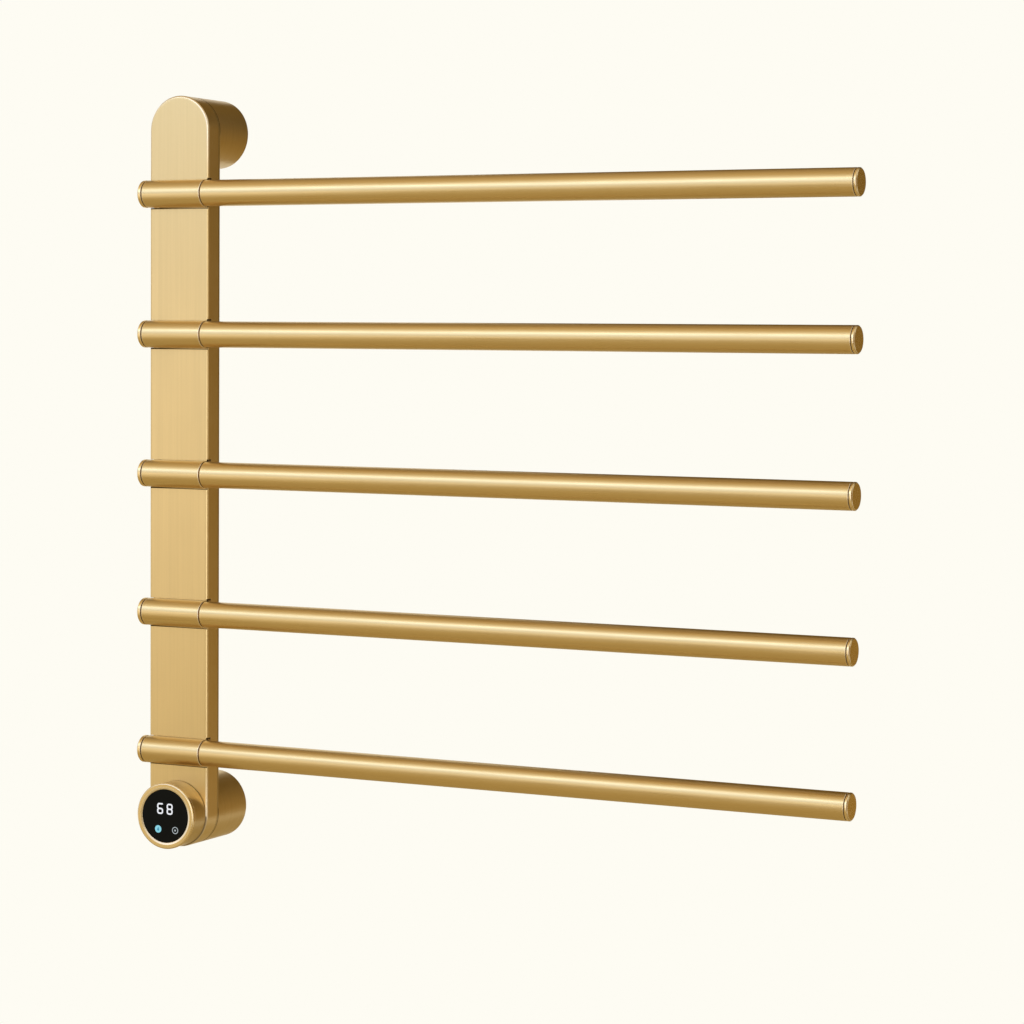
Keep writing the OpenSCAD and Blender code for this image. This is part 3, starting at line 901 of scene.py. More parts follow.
@dataclass
class Post:
    """The upright post: its shell with a slot for each bar, its back cover and its screws."""

    half_width: float = 25.0
    round_z: float = 250.0  # the height of the upper round end's centre
    front: float = -55.0  # the plane of the front face
    seam: float = -40.8  # the plane between the shell and its cover
    back: float = -39.0  # the plane of the cover's back
    wall: float = 1.5  # the shell's thickness
    rim: float = 3.0  # the width of the faces' outer strip, which carries their rounding
    front_rounding: float = 1.5  # the rounding of the front face's edge
    soft: float = 0.08  # the bevel round the slots and holes
    bar_y: float = -56.5  # the plane of the bars' axes
    bar_heights: tuple[float, ...] = (204.0, 102.0, 0.0, -102.0, -204.0)  # the heights of the bars' axes
    slot_radius: float = 10.15  # half of a slot's height, 0.45 less than in the CAD
    lip: float = 0.85  # the height of the shallow step under each slot
    lip_depth: float = 0.5  # how deep that step is
    nick_top: float = 11.1  # how far the small nick at each slot's right end reaches above the bar's axis
    nick_height: float = 2.6  # its height
    nick_length: float = 5.0  # its length from the front
    nick_x: float = 24.2  # where it starts
    mark_gap: float = 0.3  # how far from these forms the shade painted on them has faded out
    notch_x: float = -14.9  # where the notch that a bar's left end swings into stops
    shade_depth: float = 0.8  # how far the lower round end's front edge is shaded under the head
    screw_x: float = 12.0  # the line of the cover's screws
    screw_offset: float = 14.45  # how far each screw is above or below a bar's axis
    screw_radius: float = 1.5  # the screws' radius
    screw_head: float = 3.0  # their heads' radius
    screw_sink: float = 1.5  # how deep their heads are
    screw_length: float = 6.5  # their length
    screw_gap: float = 0.1  # the gap round them in the cover
    socket_radius: float = 1.1  # the radius of the sockets' corners
    socket_depth: float = 0.8  # how deep the sockets are

    def cutters(self, index: int, height: float) -> list[Piece]:
        """Builds the bodies that cut one bar's slot, notch, nick and step.

        Args:
            index: the bar's number, for the cutters' names.
            height: the height of the bar's axis.

        Returns:
            The cutters.
        """
        reach, ahead = self.half_width + self.wall, self.bar_y - 2 * self.slot_radius
        low, high = height - self.slot_radius, height + self.slot_radius
        top = height + self.nick_top
        axis = (0, self.bar_y * MM, height * MM)
        boxes = {
            "slot_front": ((-reach, ahead, low), (reach, self.bar_y, high)),
            "notch": ((-reach, self.bar_y - 1, low), (self.notch_x, self.seam + 1, high)),
            "nick": (
                (self.nick_x, self.front - 1, top - self.nick_height),
                (reach, self.front + self.nick_length, top),
            ),
            "lip": ((-reach, ahead, low - self.lip), (reach, self.front + self.lip_depth, height)),
        }
        return [
            rod(f"slot_{index}", (-reach, reach), self.slot_radius, Axis.X, axis, ROUND_SEGMENTS),
            *(block(f"{name}_{index}", *corners) for name, corners in boxes.items()),
        ]

    def shade(self, piece: Piece) -> None:
        """Paints shade on the slots' walls, steps and nicks, and on the front edge under the head.

        Args:
            piece: the post's shell.
        """
        below_slot = self.slot_radius + self.lip
        edges = (self.slot_radius + self.mark_gap, self.nick_top + 0.2, -below_slot - self.mark_gap)
        split_across(piece, [bar + offset for bar in self.bar_heights for offset in edges])
        painted_shade = piece.data.attributes[PAINTED_SHADE].data
        for vert in piece.data.vertices:
            across, depth, height = (value / MM for value in vert.co)
            behind = depth - self.front
            above = min((height - bar for bar in self.bar_heights), key=abs)
            inside = abs(abs(above) - self.slot_radius) < NEAR < behind
            level = NEAR < -above - self.slot_radius < self.lip + NEAR
            under = level and self.mark_gap < behind < self.lip_depth + NEAR
            top = self.nick_top - self.nick_height + 0.1 < above < self.nick_top + NEAR
            # Shade is painted on the slots' walls, the steps under them and the nicks.
            if inside or under or (top and abs(across - self.nick_x) < NEAR):
                painted_shade[vert.index].value = 1.0
            # Shade is painted on the lower round end's front edge under the head, fading with depth.
            below = -self.round_z - height
            outer = math.hypot(across, below) > self.half_width - self.front_rounding - 0.1
            if below > 1.0 and 0.02 < behind < self.shade_depth and outer:
                painted_shade[vert.index].value = 1.0 - behind / self.shade_depth

    def shell(self) -> None:
        """Builds the shell: a shallow round-ended box, open behind, with a slot for each bar."""
        inner = self.half_width - self.wall
        profile = (
            Corner(self.front + self.wall, inner - 1.0),
            Corner(self.front + self.wall, inner, 0.4),
            Corner(self.seam, inner),
            # Shade is painted along the seam between the shell and its cover.
            Corner(self.seam, self.half_width, 0.15, painted_shade=1.0),
            Corner(self.front, self.half_width, self.front_rounding),
            Corner(self.front, self.half_width - self.rim),
        )
        piece = round_ended("post_shell_brushed", self.round_z, profile)
        bars = enumerate(self.bar_heights)
        cut(piece, [cutter for bar in bars for cutter in self.cutters(*bar)], self.soft)
        self.shade(piece)
        dress(piece, POST_FACE, "post", ("post_shell",))

    def screw_spots(self) -> list[Place]:
        """Where the cover's screws sit, two at each bar.

        Returns:
            Their places, in metres.
        """
        return [
            (self.screw_x * MM, 0.0, (height + side * self.screw_offset) * MM)
            for height in self.bar_heights
            for side in (-1, 1)
        ]

    def cover(self) -> None:
        """Builds the back cover, with a countersunk hole for each of its screws."""
        profile = (
            Corner(self.seam, self.half_width - self.rim),
            # Shade is painted along the seam with the shell and along the back edge.
            Corner(self.seam, self.half_width, 0.15, painted_shade=1.0),
            Corner(self.back, self.half_width, 0.35, painted_shade=1.0),
            Corner(self.back, self.half_width - self.rim),
        )
        piece = round_ended("post_cover_brushed", self.round_z, profile)
        radius, head = self.screw_radius + self.screw_gap, self.screw_head + self.screw_gap
        hole = (
            Corner(self.seam - 1, 0),
            Corner(self.seam - 1, radius),
            Corner(self.back - self.screw_sink, radius),
            Corner(self.back, head),
            Corner(self.back + 1, head),
            Corner(self.back + 1, 0),
        )
        cutters = [
            turned(f"hole_{index}", hole, Axis.Y, spot, segments=HOLE_SEGMENTS)
            for index, spot in enumerate(self.screw_spots())
        ]
        cut(piece, cutters, self.soft)
        dress(piece, COVER_GOLD, "post", ("post_back_cover",))

    def screws(self) -> None:
        """Builds the cover's countersunk screws, each with a hexagon socket, as one piece."""
        tip, floor = self.back - self.screw_length, self.back - self.socket_depth
        outline = (
            Corner(tip, 0),
            Corner(tip, self.screw_radius, 0.2),
            Corner(self.back - self.screw_sink, self.screw_radius),
            Corner(self.back, self.screw_head, 0.12),
            Corner(self.back, self.socket_radius, 0.05),
            # Shade is painted on the socket's floor.
            Corner(floor, self.socket_radius, 0.05, painted_shade=1.0),
            Corner(floor, 0, painted_shade=1.0),
        )
        screw = turned("cover_screw", outline, Axis.Y, (0, 0, 0), segments=HOLE_SEGMENTS)
        sixth = math.pi / 3
        for vert in screw.data.vertices:
            radius = math.hypot(vert.co.x, vert.co.z) / MM
            if vert.co.y / MM > floor - 0.1 and 0 < radius < self.socket_radius + 0.06:
                turn = math.atan2(vert.co.z, vert.co.x) % sixth
                share = math.cos(sixth / 2) / math.cos(turn - sixth / 2)
                vert.co.x, vert.co.z = vert.co.x * share, vert.co.z * share
        mesh = bmesh.new()
        for spot in self.screw_spots():
            done = len(mesh.verts)
            mesh.from_mesh(screw.data)
            mesh.verts.ensure_lookup_table()
            bmesh.ops.translate(mesh, verts=mesh.verts[done:], vec=spot)
        bpy.data.objects.remove(screw)
        dress(new_piece("back_cover_screws_socket", mesh), STEEL, "post", ("back_cover_screws",))

    def build(self) -> None:
        """Builds the three pieces."""
        self.shell()
        self.cover()
        self.screws()


@dataclass
class SwingArm(TurnedPieces):
    """One bar that swings: its root block, tube and two caps."""

    axis = Axis.X

    index: int  # the bar's number, 1 at the top
    root_radius: float = 10.0  # the root block's radius
    root_x0: float = -25.5  # its left end
    root_x1: float = 24.0  # its end at the seam
    spigot: float = 7.95  # the radius of its spigot in the tube, and of the right cap's
    spigot_length: float = 18.0  # the spigot's length
    bore: float = 4.5  # the radius of the bore for the heater's lead
    bore_x: float = -12.5  # where that bore ends
    mouth: float = 6.55  # the radius of the recess that the left cap's plug sits in
    mouth_depth: float = 1.4  # its depth
    pin: Point = (-20.0, 5.5)  # the hinge pin's place from the bar's axis, X and Y
    bush_radius: float = 3.55  # the radius of the hinge bush's bore
    port_x: float = -9.0  # the place of the lead's port
    port_radius: float = 2.5  # its radius
    seam: float = 0.5  # the seam's width
    tube_radius: float = 9.5  # the tube's radius
    tube_wall: float = 1.5  # its wall's thickness
    tube_x1: float = 521.5  # its right end
    plug: float = 6.5  # the radius of the left cap's plug
    plug_length: float = 1.35  # its length
    end_plug: float = 6.0  # how far the right cap reaches into the tube
    cap_left: float = 3.0  # the left cap's thickness
    cap_right: float = 2.2  # the right cap's thickness
    groove: float = 0.6  # the width of the shadow groove behind each cap
    chamfer: float = 0.8  # the chamfer of each cap

    @property
    def body(self) -> str:
        """The CAD body that this bar's pieces ride on."""
        return f"arm_{self.index}"

    @property
    def centre(self) -> Place:
        """A point on the bar's axis, in metres."""
        low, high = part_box(f"arm_tube_{self.index}")
        return (0.0, (low.y + high.y) / 2, (low.z + high.z) / 2)

    def root(self) -> None:
        """Builds the root block, with the bore of its hinge bush and the port of its lead."""
        tip = self.root_x1 + self.seam + self.spigot_length
        outline = (
            Corner(self.root_x0 + self.mouth_depth, 0),
            Corner(self.root_x0 + self.mouth_depth, self.mouth),
            Corner(self.root_x0, self.mouth, 0.1),
            Corner(self.root_x0, self.root_radius, 0.9),
            Corner(self.root_x1, self.root_radius, 0.5),
            Corner(self.root_x1, self.spigot),
            Corner(tip, self.spigot, 0.4),
            Corner(tip, self.bore),
            Corner(self.bore_x, self.bore),
            Corner(self.bore_x, 0),
        )
        middle = Vector(self.centre)
        pin, port = (middle + Vector(spot) * MM for spot in ((*self.pin, 0), (self.port_x, 0, 0)))
        reach = self.root_radius * 1.5
        cutters = (
            rod("bush_bore", (-reach, reach), self.bush_radius, Axis.Z, pin),
            rod("lead_port", (0, self.root_radius * 2), self.port_radius, Axis.Y, port),
        )
        self.make(f"arm_root_{self.index}", outline, BAR_GOLD, cutters=cutters)

    def tube(self) -> None:
        """Builds the tube."""
        start, bore = self.root_x1 + self.seam, self.tube_radius - self.tube_wall
        outline = (
            Corner(start, bore, 0.15),
            Corner(start, self.tube_radius, 0.6),
            Corner(self.tube_x1, self.tube_radius, 0.35),
            Corner(self.tube_x1, bore, 0.1),
        )
        self.make(f"arm_tube_{self.index}", outline, BAR_GOLD, closed=True)

    def caps(self) -> None:
        """Builds the left and the right cap, each behind its shadow groove, with shade painted in the grooves
        and in the middle of the chamfers.
        """
        radius, half = self.root_radius, self.chamfer / 2
        face = self.root_x0 - self.groove - self.cap_left
        left = (
            Corner(face, 0),
            Corner(face, radius - self.chamfer, 0.2),
            # Shade is painted in the middle of the chamfer and in the groove behind the cap.
            Corner(face + half, radius - half, painted_shade=0.6),
            Corner(face + self.chamfer, radius, 0.25),
            Corner(face + self.cap_left, radius, 0.3),
            Corner(face + self.cap_left, radius - self.groove, painted_shade=1.0),
            Corner(self.root_x0, radius - self.groove, painted_shade=1.0),
            Corner(self.root_x0, self.plug),
            Corner(self.root_x0 + self.plug_length, self.plug, 0.2),
            Corner(self.root_x0 + self.plug_length, 0),
        )
        self.make(f"root_cap_{self.index}", left, CAP_GOLD)
        radius, start = self.tube_radius, self.tube_x1 + self.groove
        face = start + self.cap_right
        right = (
            Corner(self.tube_x1 - self.end_plug, 0),
            Corner(self.tube_x1 - self.end_plug, self.spigot, 0.3),
            Corner(self.tube_x1, self.spigot),
            # Shade is painted in the groove before the cap and in the middle of its chamfer.
            Corner(self.tube_x1, radius - self.groove, painted_shade=0.75),
            Corner(start, radius - self.groove, painted_shade=0.75),
            Corner(start, radius, 0.3),
            Corner(face - self.chamfer, radius, 0.25),
            Corner(face - half, radius - half, painted_shade=0.45),
            Corner(face, radius - self.chamfer, 0.2),
            Corner(face, 0),
        )
        self.make(f"end_cap_{self.index}", right, CAP_GOLD)

    def build(self) -> None:
        """Builds the bar's four pieces."""
        self.root()
        self.tube()
        self.caps()


@dataclass
class Standoff(TurnedPieces):
    """One round standoff between the post and the wall."""

    name: str  # the CAD node that it stands for
    radius: float = 25.0
    wall: float = 2.0  # its wall's thickness
    front: float = -39.0  # its plane against the post
    web: float = 4.0  # the thickness of its web there
    screw_y: float = -8.0  # the plane of its grub screws
    screw_radius: float = 2.05  # the radius of their holes
    soft: float = 0.12  # the bevel round them

    @property
    def centre(self) -> Place:
        """A point on the standoff's axis, in metres."""
        low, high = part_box(self.name)
        return (0.0, 0.0, (low.z + high.z) / 2)

    def build(self) -> None:
        """Builds the sleeve with its web and its two grub screw holes."""
        bore, floor = self.radius - self.wall, self.front + self.web
        outline = (
            Corner(self.front, 0),
            # Shade is painted on the rounded edges against the post and the wall.
            Corner(self.front, self.radius, 0.4, painted_shade=1.0),
            Corner(0, self.radius, 0.5, painted_shade=0.5),
            Corner(0, bore, 0.2),
            Corner(floor, bore, 0.4),
            Corner(floor, 0),
        )
        spot = (0, self.screw_y * MM, self.centre[2])
        ends = (0, -self.radius - 5.0)
        cutters = [
            rod(f"grub_{axis.name}", ends, self.screw_radius, axis, spot, segments=32)
            for axis in (Axis.X, Axis.Z)
        ]
        self.make(self.name, outline, SLEEVE_GOLD, cutters=cutters, soft=self.soft)


@dataclass
class ControlHead(TurnedPieces):
    """The round control head: its housing, turning ring, glass and lit marks."""

    segments = 128

    height: float = -250.0  # the height of its axis
    post_front: float = -55.0  # the plane of the post's face
    body_front: float = -69.5  # the housing's front plane
    ring_front: float = -72.6  # the ring's front plane
    ring_back: float = -69.8  # its back plane
    glass_front: float = -72.4  # the glass's front plane
    body_radius: float = 24.0  # the housing's radius
    floor: float = 2.0  # the thickness of its floor
    gap: float = 0.5  # the width and depth of the shadow gap between it and the post
    shade_length: float = 7.0  # the length over which shade is painted on it, darkening toward that gap
    neck_radius: float = 21.5  # the radius of the neck that the ring turns on
    neck_sink: float = 1.2  # how far the neck ends behind the ring's front
    seat: float = 19.55  # the radius of the seat round the glass
    ledge: float = 18.5  # the inner radius of the ledge that the glass rests on
    ring_radius: float = 24.25  # the ring's radius
    ring_inner: float = 19.8  # the radius of its opening
    ring_bore: float = 21.56  # the radius of its bore on the neck
    ring_lip: float = 0.9  # the thickness of its lip in front of the neck
    ring_chamfer: Point = (0.6, 0.8)  # the depth and width of its outer chamfer
    ring_polish: Point = (0.25, 1.3)  # the depth and width of its polished inner chamfer
    ring_land: float = 1.5  # the distance of its flat face from the opening
    glass_radius: float = 19.5  # the glass's radius
    glass_depth: float = 1.8  # its thickness
    stroke: float = 1.12  # the width of the figures' strokes
    # Half of a figure's width, half of its height and the rounding of its corners.
    figure: Place = (2.05, 3.5, 1.35)
    proud: float = 0.02  # how far the figures and icons stand in front of the glass
    sunk: float = 0.05  # how far they reach into it
    hook: float = 0.2  # how much shorter the first figure's upper stroke is than its loop
    six: Point = (-4.3, 5.35)  # the place of the first figure
    eight: Point = (3.95, 5.35)  # the place of the second figure
    heat: Point = (-6.0, -9.9)  # the place of the heating icon
    heat_radius: float = 2.75
    drop: Place = (0.9, -0.4, 1.7)  # the radius and height of the drop's round part, and its tip's height
    timer: Point = (8.7, -9.9)  # the place of the timer icon
    timer_ring: Point = (2.05, 2.6)  # its ring's inner and outer radius
    timer_dot: float = 0.7  # the radius of the dot in it

    @property
    def centre(self) -> Place:
        """A point on the head's axis, in metres."""
        return (0.0, 0.0, self.height * MM)

    def housing(self) -> None:
        """Builds the housing: body, neck and the ledge that the glass rests on."""
        rest, end = self.glass_front + self.glass_depth, self.ring_front + self.neck_sink
        foot, inset = self.post_front - self.gap, self.body_radius - self.gap
        outline = (
            Corner(self.post_front - self.floor, 0),
            Corner(self.post_front - self.floor, self.ledge),
            Corner(rest, self.ledge, 0.1),
            Corner(rest, self.seat),
            Corner(end, self.seat, 0.1),
            Corner(end, self.neck_radius, 0.1),
            Corner(self.body_front, self.neck_radius),
            Corner(self.body_front, self.body_radius, 0.3),
            # Shade is painted on the body's last part before the post, darkest in the gap.
            Corner(self.post_front - self.shade_length, self.body_radius),
            Corner(foot, self.body_radius, 0.15, painted_shade=0.55),
            Corner(foot, inset, painted_shade=1.0),
            Corner(self.post_front, inset, painted_shade=1.0),
            Corner(self.post_front, 0),
        )
        self.make("head_housing", outline, ROUND_GOLD)

    def ring(self) -> None:
        """Builds the ring that turns, with a chamfer outside and a polished one inside; the inner chamfer
        gets a painted highlight and the back edge painted shade.
        """
        lip = self.ring_front + self.ring_lip
        depth, width = self.ring_chamfer
        polish_depth, polish_width = self.ring_polish
        outline = (
            # Both ends of the polished inner chamfer get the rounded edges' painted highlight.
            Corner(self.ring_front, self.ring_inner + polish_width, 0.1, polished_and_highlighted=True),
            Corner(self.ring_front, self.ring_inner + self.ring_land),
            Corner(self.ring_front, self.ring_radius - width, 0.2),
            Corner(self.ring_front + depth, self.ring_radius, 0.2),
            # Shade is painted on the back edge, against the housing.
            Corner(self.ring_back, self.ring_radius, 0.2, painted_shade=1.0),
            Corner(self.ring_back, self.ring_bore, 0.1),
            Corner(lip, self.ring_bore),
            Corner(lip, self.ring_inner, 0.1),
            Corner(self.ring_front + polish_depth, self.ring_inner, 0.1, polished_and_highlighted=True),
        )
        self.make("dial_ring", outline, RING_GOLD, "dial", closed=True)

    def glass(self) -> None:
        """Builds the black glass, with its edge softened."""
        back = self.glass_front + self.glass_depth
        outline = (
            Corner(self.glass_front, 0),
            Corner(self.glass_front, self.glass_radius, 0.2),
            Corner(back, self.glass_radius, 0.1),
            Corner(back, 0),
        )
        self.make("display_glass", outline, GLASS)

    def faces(self, proud: float) -> Point:
        """The front and back planes of a mark that stands so far in front of the glass."""
        return self.glass_front - proud, self.glass_front + self.sunk

    def plate(self, name: str, outlines: Sequence[Sequence[Point]], proud: float, finish: Finish) -> None:
        """Builds a mark of one plate, from outlines that may overlap.

        Args:
            name: the plate's name.
            outlines: the outlines, from the head's axis.
            proud: how far it stands in front of the glass.
            finish: its finish.
        """
        flat = [Vector(point) for outline in outlines for point in outline]
        loops, done = [], 0
        for outline in outlines:
            turn = sum(a[0] * b[1] - a[1] * b[0] for a, b in zip(outline, [*outline[1:], outline[0]]))
            loop = list(range(done, done + len(outline)))
            loops.append(loop if turn > 0.0 else loop[::-1])
            done += len(outline)
        points, _, faces, _, _, owners = delaunay_2d_cdt(flat, [], loops, 1, 1e-4)
        faces = [face for face, owner in zip(faces, owners) if owner]
        mesh = bmesh.new()
        front, back = (
            [mesh.verts.new((point.x * MM, depth * MM, (self.height + point.y) * MM)) for point in points]
            for depth in self.faces(proud)
        )
        sides = [pair for face in faces for pair in zip(face, [*face[1:], face[0]])]
        for face in faces:
            mesh.faces.new([front[index] for index in face])
            mesh.faces.new([back[index] for index in reversed(face)])
        for first, second in sides:
            if (second, first) not in sides:
                mesh.faces.new((front[second], front[first], back[first], back[second]))
        unused = [vert for vert in mesh.verts if not vert.link_faces]
        bmesh.ops.delete(mesh, geom=unused, context="VERTS")
        dress(new_piece(name, mesh), finish, "post")

    def disc(self, name: str, spot: Point, radii: Point, finish: Finish) -> None:
        """Builds a disc, or a ring where the inner radius isn't 0, of the display's icons.

        Args:
            name: the disc's name.
            spot: its middle, from the head's axis.
            radii: its inner and outer radius.
            finish: its finish.
        """
        inner, outer = radii
        front, back = self.faces(self.proud)
        corners = [Corner(front, inner), Corner(front, outer, 0.02), Corner(back, outer), Corner(back, inner)]
        centre = (spot[0] * MM, 0, (self.height + spot[1]) * MM)
        piece = turned(name, corners, Axis.Y, centre, inner > 0, HOLE_SEGMENTS)
        dress(piece, finish, "post")

    def strip(self, path: Sequence[Corner]) -> list[Point]:
        """The outline of one open stroke of a figure, with a round start and end.

        Args:
            path: the stroke's middle line.

        Returns:
            The outline's points.
        """
        points = [Vector((spot.u, spot.v)) for spot in rounded(path, False, 6)]
        half, steps = self.stroke / 2, 8
        left: list[Point] = []
        right: list[Point] = []
        for before, spot, after in zip([points[0], *points], points, [*points[1:], points[-1]]):
            ahead = (after - before).normalized()
            side = Vector((-ahead.y, ahead.x)) * half
            left.append(tuple(spot + side))
            right.append(tuple(spot - side))
        ends: list[list[Point]] = []
        for spot, near in ((points[-1], points[-2]), (points[0], points[1])):
            out = (spot - near).normalized()
            side = Vector((-out.y, out.x))
            angles = [math.pi * step / steps for step in range(1, steps)]
            ends.append(
                [tuple(spot + side * half * math.cos(a) + out * half * math.sin(a)) for a in angles]
            )
        return left + ends[0] + right[::-1] + ends[1]

    def number(self, name: str, middle: Point, strokes: Sequence[Sequence[Corner]]) -> None:
        """Builds one figure of the display.

        Args:
            name: the figure's name.
            middle: its middle, from the head's axis.
            strokes: its strokes, round its middle.
        """
        x, z = middle
        paths = [[Corner(spot.u + x, spot.v + z, spot.rounding) for spot in stroke] for stroke in strokes]
        self.plate(name, [self.strip(path) for path in paths], self.proud, WHITE_LIGHT)

    def bow(self, side: int, start: float, end: float, start_x: float = 0.0) -> list[Corner]:
        """One stroke: half of a figure's loop, left or right of its middle.

        Args:
            side: -1 for the left half and 1 for the right one.
            start: the height that it starts at.
            end: the height that it ends at, on the middle.
            start_x: where it starts, from the middle.

        Returns:
            The stroke's middle line.
        """
        width, _, rounding = self.figure
        bends = [Corner(side * width, height, rounding) for height in (start, end)]
        return [Corner(start_x, start), *bends, Corner(0.0, end)]

    def marks(self) -> None:
        """Builds the figures and the two icons, which are general ones."""
        width, height, _ = self.figure
        low = (self.bow(-1, 0.0, -height), self.bow(1, -height, 0.0))
        self.number("figure_six", self.six, (*low, self.bow(-1, height, 0.0, width - self.hook)))
        self.number("figure_eight", self.eight, (*low, self.bow(-1, 0.0, height), self.bow(1, height, 0.0)))
        self.disc("icon_heat", self.heat, (0.0, self.heat_radius), CYAN_LIGHT)
        radius, middle, tip = self.drop
        angles = [math.radians(25 - 230 * step / 12) for step in range(13)]
        drop = [(0.0, tip), *((radius * math.cos(a), radius * math.sin(a) + middle) for a in angles)]
        x, z = self.heat
        self.plate("icon_heat_drop", [[(u + x, v + z) for u, v in drop]], 2 * self.proud, DEEP_CYAN)
        self.disc("icon_timer", self.timer, self.timer_ring, GREY_LIGHT)
        self.disc("icon_timer_dot", self.timer, (0.0, self.timer_dot), GREY_LIGHT)

    def build(self) -> None:
        """Builds the head's pieces."""
        self.housing()
        self.ring()
        self.glass()
        self.marks()


@dataclass
class InnerParts:
    """The pieces inside and behind the rail, which keep their CAD shapes."""

    finishes: dict[str, Finish]  # for each node, or each stem of numbered nodes, its finish

    def build(self) -> None:
        """Gives each remaining node its finish."""
        for name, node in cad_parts.items():
            if node.hide_render:
                continue
            stem = name.rstrip("0123456789").rstrip("_")
            finish = self.finishes.get(name) or self.finishes[stem]
            node.data.materials.clear()
            node.data.materials.append(finish.make())
            LOG.info("%s keeps its shape, in %s", name, finish.name)


# Studio


@dataclass(frozen=True)
class Viewpoint:
    """The camera at the photograph's place."""

    azimuth: float = 26.473  # degrees that the camera stands to the right of the front
    pitch: float = 3.408  # degrees that it looks down
    roll: float = 0.468  # degrees that it leans
    distance: float = 2.0214  # its distance from the target
    target: Place = (0.27132, -0.052, -0.01894)  # the point that it looks at
    lens: float = 102.73  # its focal length
    sensor: float = 36.0  # its sensor's width

    def build(self) -> None:
        """Places the camera."""
        yaw, down, lean = (math.radians(x) for x in (self.azimuth, self.pitch, self.roll))
        forward = Vector(
            (-math.sin(yaw) * math.cos(down), math.cos(yaw) * math.cos(down), -math.sin(down))
        )
        right = Vector((math.cos(yaw), math.sin(yaw), 0))
        up = right.cross(forward)
        tilted_right = right * math.cos(lean) + up * math.sin(lean)
        tilted_up = up * math.cos(lean) - right * math.sin(lean)
        data = bpy.data.cameras.new("camera")
        data.lens = self.lens
        data.sensor_width = self.sensor
        camera = bpy.data.objects.new("camera", data)
        turn = Matrix((tilted_right, tilted_up, -forward)).transposed().to_4x4()
        camera.matrix_world = Matrix.Translation(Vector(self.target) - forward * self.distance) @ turn
        bpy.context.scene.collection.objects.link(camera)
        bpy.context.scene.camera = camera


@dataclass(frozen=True)
class Panel:
    """A flat light, or a card that is only seen in reflections."""

    name: str
    place: Place  # its centre
    aim: Place  # the point that it faces
    size: Point  # its width and height
    colour: Colour  # its light, where 1 is white
    foot: Colour | None = None  # a card's light at its lower edge, where it fades from top to bottom

    def turn(self) -> Matrix:
        """The panel's place and direction."""
        look = (Vector(self.aim) - Vector(self.place)).to_track_quat("-Z", "Y")
        return Matrix.Translation(self.place) @ look.to_matrix().to_4x4()

    def lamp(self) -> None:
        """Places it as a soft light of that brightness."""
        level = max(self.colour)
        data = bpy.data.lights.new(self.name, "AREA")
        data.shape = "RECTANGLE"
        data.size, data.size_y = self.size
        data.color = tuple(part / level for part in self.colour)
        data.energy = level * math.pi * self.size[0] * self.size[1]
        light = bpy.data.objects.new(self.name, data)
        light.matrix_world = self.turn()
        light.visible_camera = False
        light.visible_glossy = False
        bpy.context.scene.collection.objects.link(light)

    def card(self) -> None:
        """Places it as a card that shows only in reflections."""
        mesh = bmesh.new()
        bmesh.ops.create_grid(mesh, x_segments=1, y_segments=1, size=0.5)
        for vert in mesh.verts:
            vert.co = (vert.co.x * self.size[0], vert.co.y * self.size[1], 0)
        piece = new_piece(self.name, mesh)
        piece.matrix_world = self.turn()
        shader = Shader(self.name)
        colour: Colour | Socket = self.colour
        if self.foot is not None:
            half = self.size[1] / 2
            share = shader.span(shader.parts()[1], (half, -half), FULL)
            colour = shader.mix(share, self.colour, self.foot)
        shader.show(shader.add("ShaderNodeEmission", {"Color": colour})[0])
        piece.data.materials.append(shader.material)
        for ray in ("camera", "diffuse", "shadow", "transmission"):
            setattr(piece, f"visible_{ray}", False)


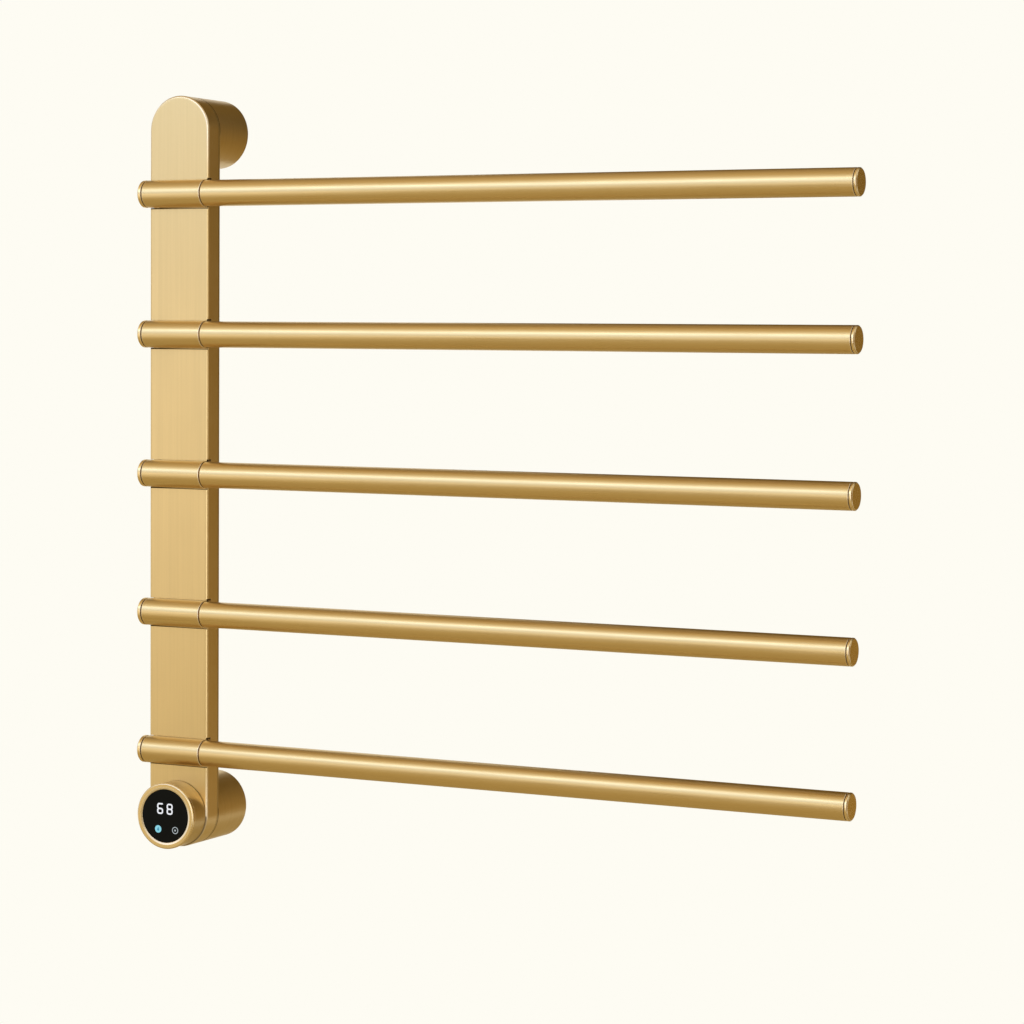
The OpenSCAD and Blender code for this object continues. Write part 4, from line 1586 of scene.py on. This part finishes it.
@dataclass(frozen=True)
class Studio:
    """Background, floor, lights and cards."""

    backdrop: Colour = (0.991, 0.973, 0.896)  # the colour behind the object
    fill: Colour = (0.5, 0.48, 0.43)  # the world's light on the object
    floor_spot: Place = (0.25, 0.0, -0.95)  # the floor's middle
    floor_radius: float = 2.2  # the floor's radius in metres
    floor_fade: Point = (0.35, 0.98)  # the shares of that radius between which it fades out
    # The two colours of its paint.
    floor_tones: tuple[Colour, Colour] = ((0.9, 0.885, 0.82), (0.92, 0.905, 0.84))
    floor_roughness: float = 0.8
    floor_glow: Colour = (0.43, 0.455, 0.47)  # the light that brings it up to the backdrop where it is seen
    lamps: tuple[Panel, ...] = (
        Panel("key_light", (-0.6, -1.6, 0.9), (0.2, 0.0, 0.0), (1.2, 1.0), (0.9, 0.89, 0.86)),
    )
    cards: tuple[Panel, ...] = (
        Panel(
            "soft_box", (-0.6, -1.45, 0.68), (-0.6, 0.0, 0.68), (1.9, 0.9),
            (2.35, 2.95, 4.4), (0.72, 0.76, 0.85),
        ),
        Panel(
            "soft_box_high", (-0.6, -1.45, 1.36), (-0.6, 0.0, 1.36), (1.9, 0.46),
            (1.2, 1.15, 1.05), (1.9, 2.05, 2.3),
        ),
        Panel(
            "card_front", (-1.24, -1.7, -0.2), (-1.24, 0.0, -0.2), (0.72, 1.3),
            (1.7, 1.69, 1.8), (0.88, 0.77, 0.48),
        ),
        Panel(
            "card_rails", (-0.375, -1.7, 0.1), (-0.375, 0.0, 0.1), (1.01, 0.7),
            (1.4, 1.44, 1.62), (0.95, 0.88, 0.7),
        ),
        Panel(
            "card_rails_low", (-0.375, -1.7, -0.55), (-0.375, 0.0, -0.55), (1.01, 0.6),
            (0.45, 0.35, 0.17), (0.55, 0.44, 0.22),
        ),
        Panel(
            "card_back", (0.9, 1.2, 0.3), (0.9, 0.0, 0.3), (2.3, 2.0),
            (0.03, 0.015, 0.0), (0.412, 0.265, 0.07),
        ),
        Panel("card_high", (0.02, 1.15, 0.82), (0.02, 0.0, 0.82), (0.95, 1.05), (0.15, 0.095, 0.018)),
        Panel(
            "card_low", (-0.2, -0.2, -0.85), (-0.2, -0.2, 0.0), (3.6, 2.9),
            (0.47, 0.36, 0.16), (0.62, 0.5, 0.27),
        ),
        Panel(
            "card_top", (-0.4, 0.2, 1.25), (-0.4, 0.2, 0.0), (3.0, 1.9),
            (0.14, 0.08, 0.02), (0.9, 0.72, 0.44),
        ),
        Panel("card_left", (-1.8, -0.2, 0.1), (0.0, -0.2, 0.1), (1.6, 1.3), (0.75, 0.7, 0.6)),
        Panel("card_right", (0.75, -1.6, 0.1), (0.4, 0.0, 0.1), (1.1, 1.3), (2.1, 2.15, 2.3)),
        Panel("card_side", (1.7, -0.5, 0.1), (0.5, -0.1, 0.1), (1.3, 1.5), (0.4, 0.28, 0.1)),
    )

    def world(self) -> None:
        """Gives the world its backdrop, and a softer light for dull surfaces."""
        world = bpy.data.worlds.new("studio")
        bpy.context.scene.world = world
        world.use_nodes = True
        nodes = Nodes(world.node_tree)
        tones = (self.fill, self.backdrop)
        shades = (nodes.add("ShaderNodeBackground", {"Color": tone})[0] for tone in tones)
        blend = nodes.add("ShaderNodeMixShader", dict(enumerate((nodes.seen(), *shades))))
        nodes.add("ShaderNodeOutputWorld", {"Surface": blend[0]})

    def floor(self) -> None:
        """Lays a pale floor that takes the object's shadow and fades into the backdrop."""
        mesh = bmesh.new()
        bmesh.ops.create_circle(mesh, cap_ends=True, segments=ROUND_SEGMENTS, radius=self.floor_radius)
        piece = new_piece("floor", mesh)
        piece.matrix_world = Matrix.Translation(self.floor_spot)
        shader = Shader("floor_paint")
        cloud = shader.noise(shader.place, 3.0)
        tone = shader.mix(cloud, *self.floor_tones)
        shader.set(Base_Color=tone, Roughness=self.floor_roughness)
        shader.set(Emission_Color=self.floor_glow, Emission_Strength=shader.seen())
        distance = shader.add("ShaderNodeVectorMath", {0: shader.place}, operation="LENGTH")["Value"]
        near, far = (share * self.floor_radius for share in self.floor_fade)
        fade = shader.span(distance, (near, far), FULL)
        clear = shader.add("ShaderNodeBsdfTransparent")[0]
        layers = dict(enumerate((fade, shader.surface.outputs[0], clear)))
        shader.show(shader.add("ShaderNodeMixShader", layers)[0])
        piece.data.materials.append(shader.material)

    def build(self) -> None:
        """Builds the studio and sets how colours are shown."""
        bpy.context.scene.view_settings.view_transform = "Standard"
        self.world()
        self.floor()
        for panel in self.lamps:
            panel.lamp()
        for panel in self.cards:
            panel.card()


INNER_NODES: dict[Finish, tuple[str, ...]] = {
    HEATER: ("arm_heater",),
    BRONZE: ("hinge_bush",),
    SADDLE_GOLD: ("saddle_blocks",),
    ALLOY: ("upper_anchor_block", "lower_anchor_block"),
    STEEL: (
        "hinge_pins", "upper_wall_plate", "lower_wall_plate", "grub_screws", "standoff_bolts",
        "dial_clip", "dial_magnets", "board_screws", "head_screws",
    ),
    RUBBER: ("cable_grommet",),
    BLACK_PLASTIC: ("wiring_loom", "thermal_sensor"),
    PALE_PLASTIC: ("terminal_block", "display_module", "board_spacers"),
    BOARD_GREEN: ("display_board", "control_board"),
    BLUE_PLASTIC: ("power_relay",),
}


def main() -> None:
    """Builds the camera, the rail and the studio."""
    logging.basicConfig(level=logging.INFO, format="%(name)s: %(message)s")
    Viewpoint().build()
    Post().build()
    for index in range(1, 6):
        SwingArm(index).build()
    for name in ("upper_standoff", "lower_standoff"):
        Standoff(name).build()
    ControlHead().build()
    InnerParts({stem: finish for finish, stems in INNER_NODES.items() for stem in stems}).build()
    Studio().build()


if __name__ == "__main__":
    main()
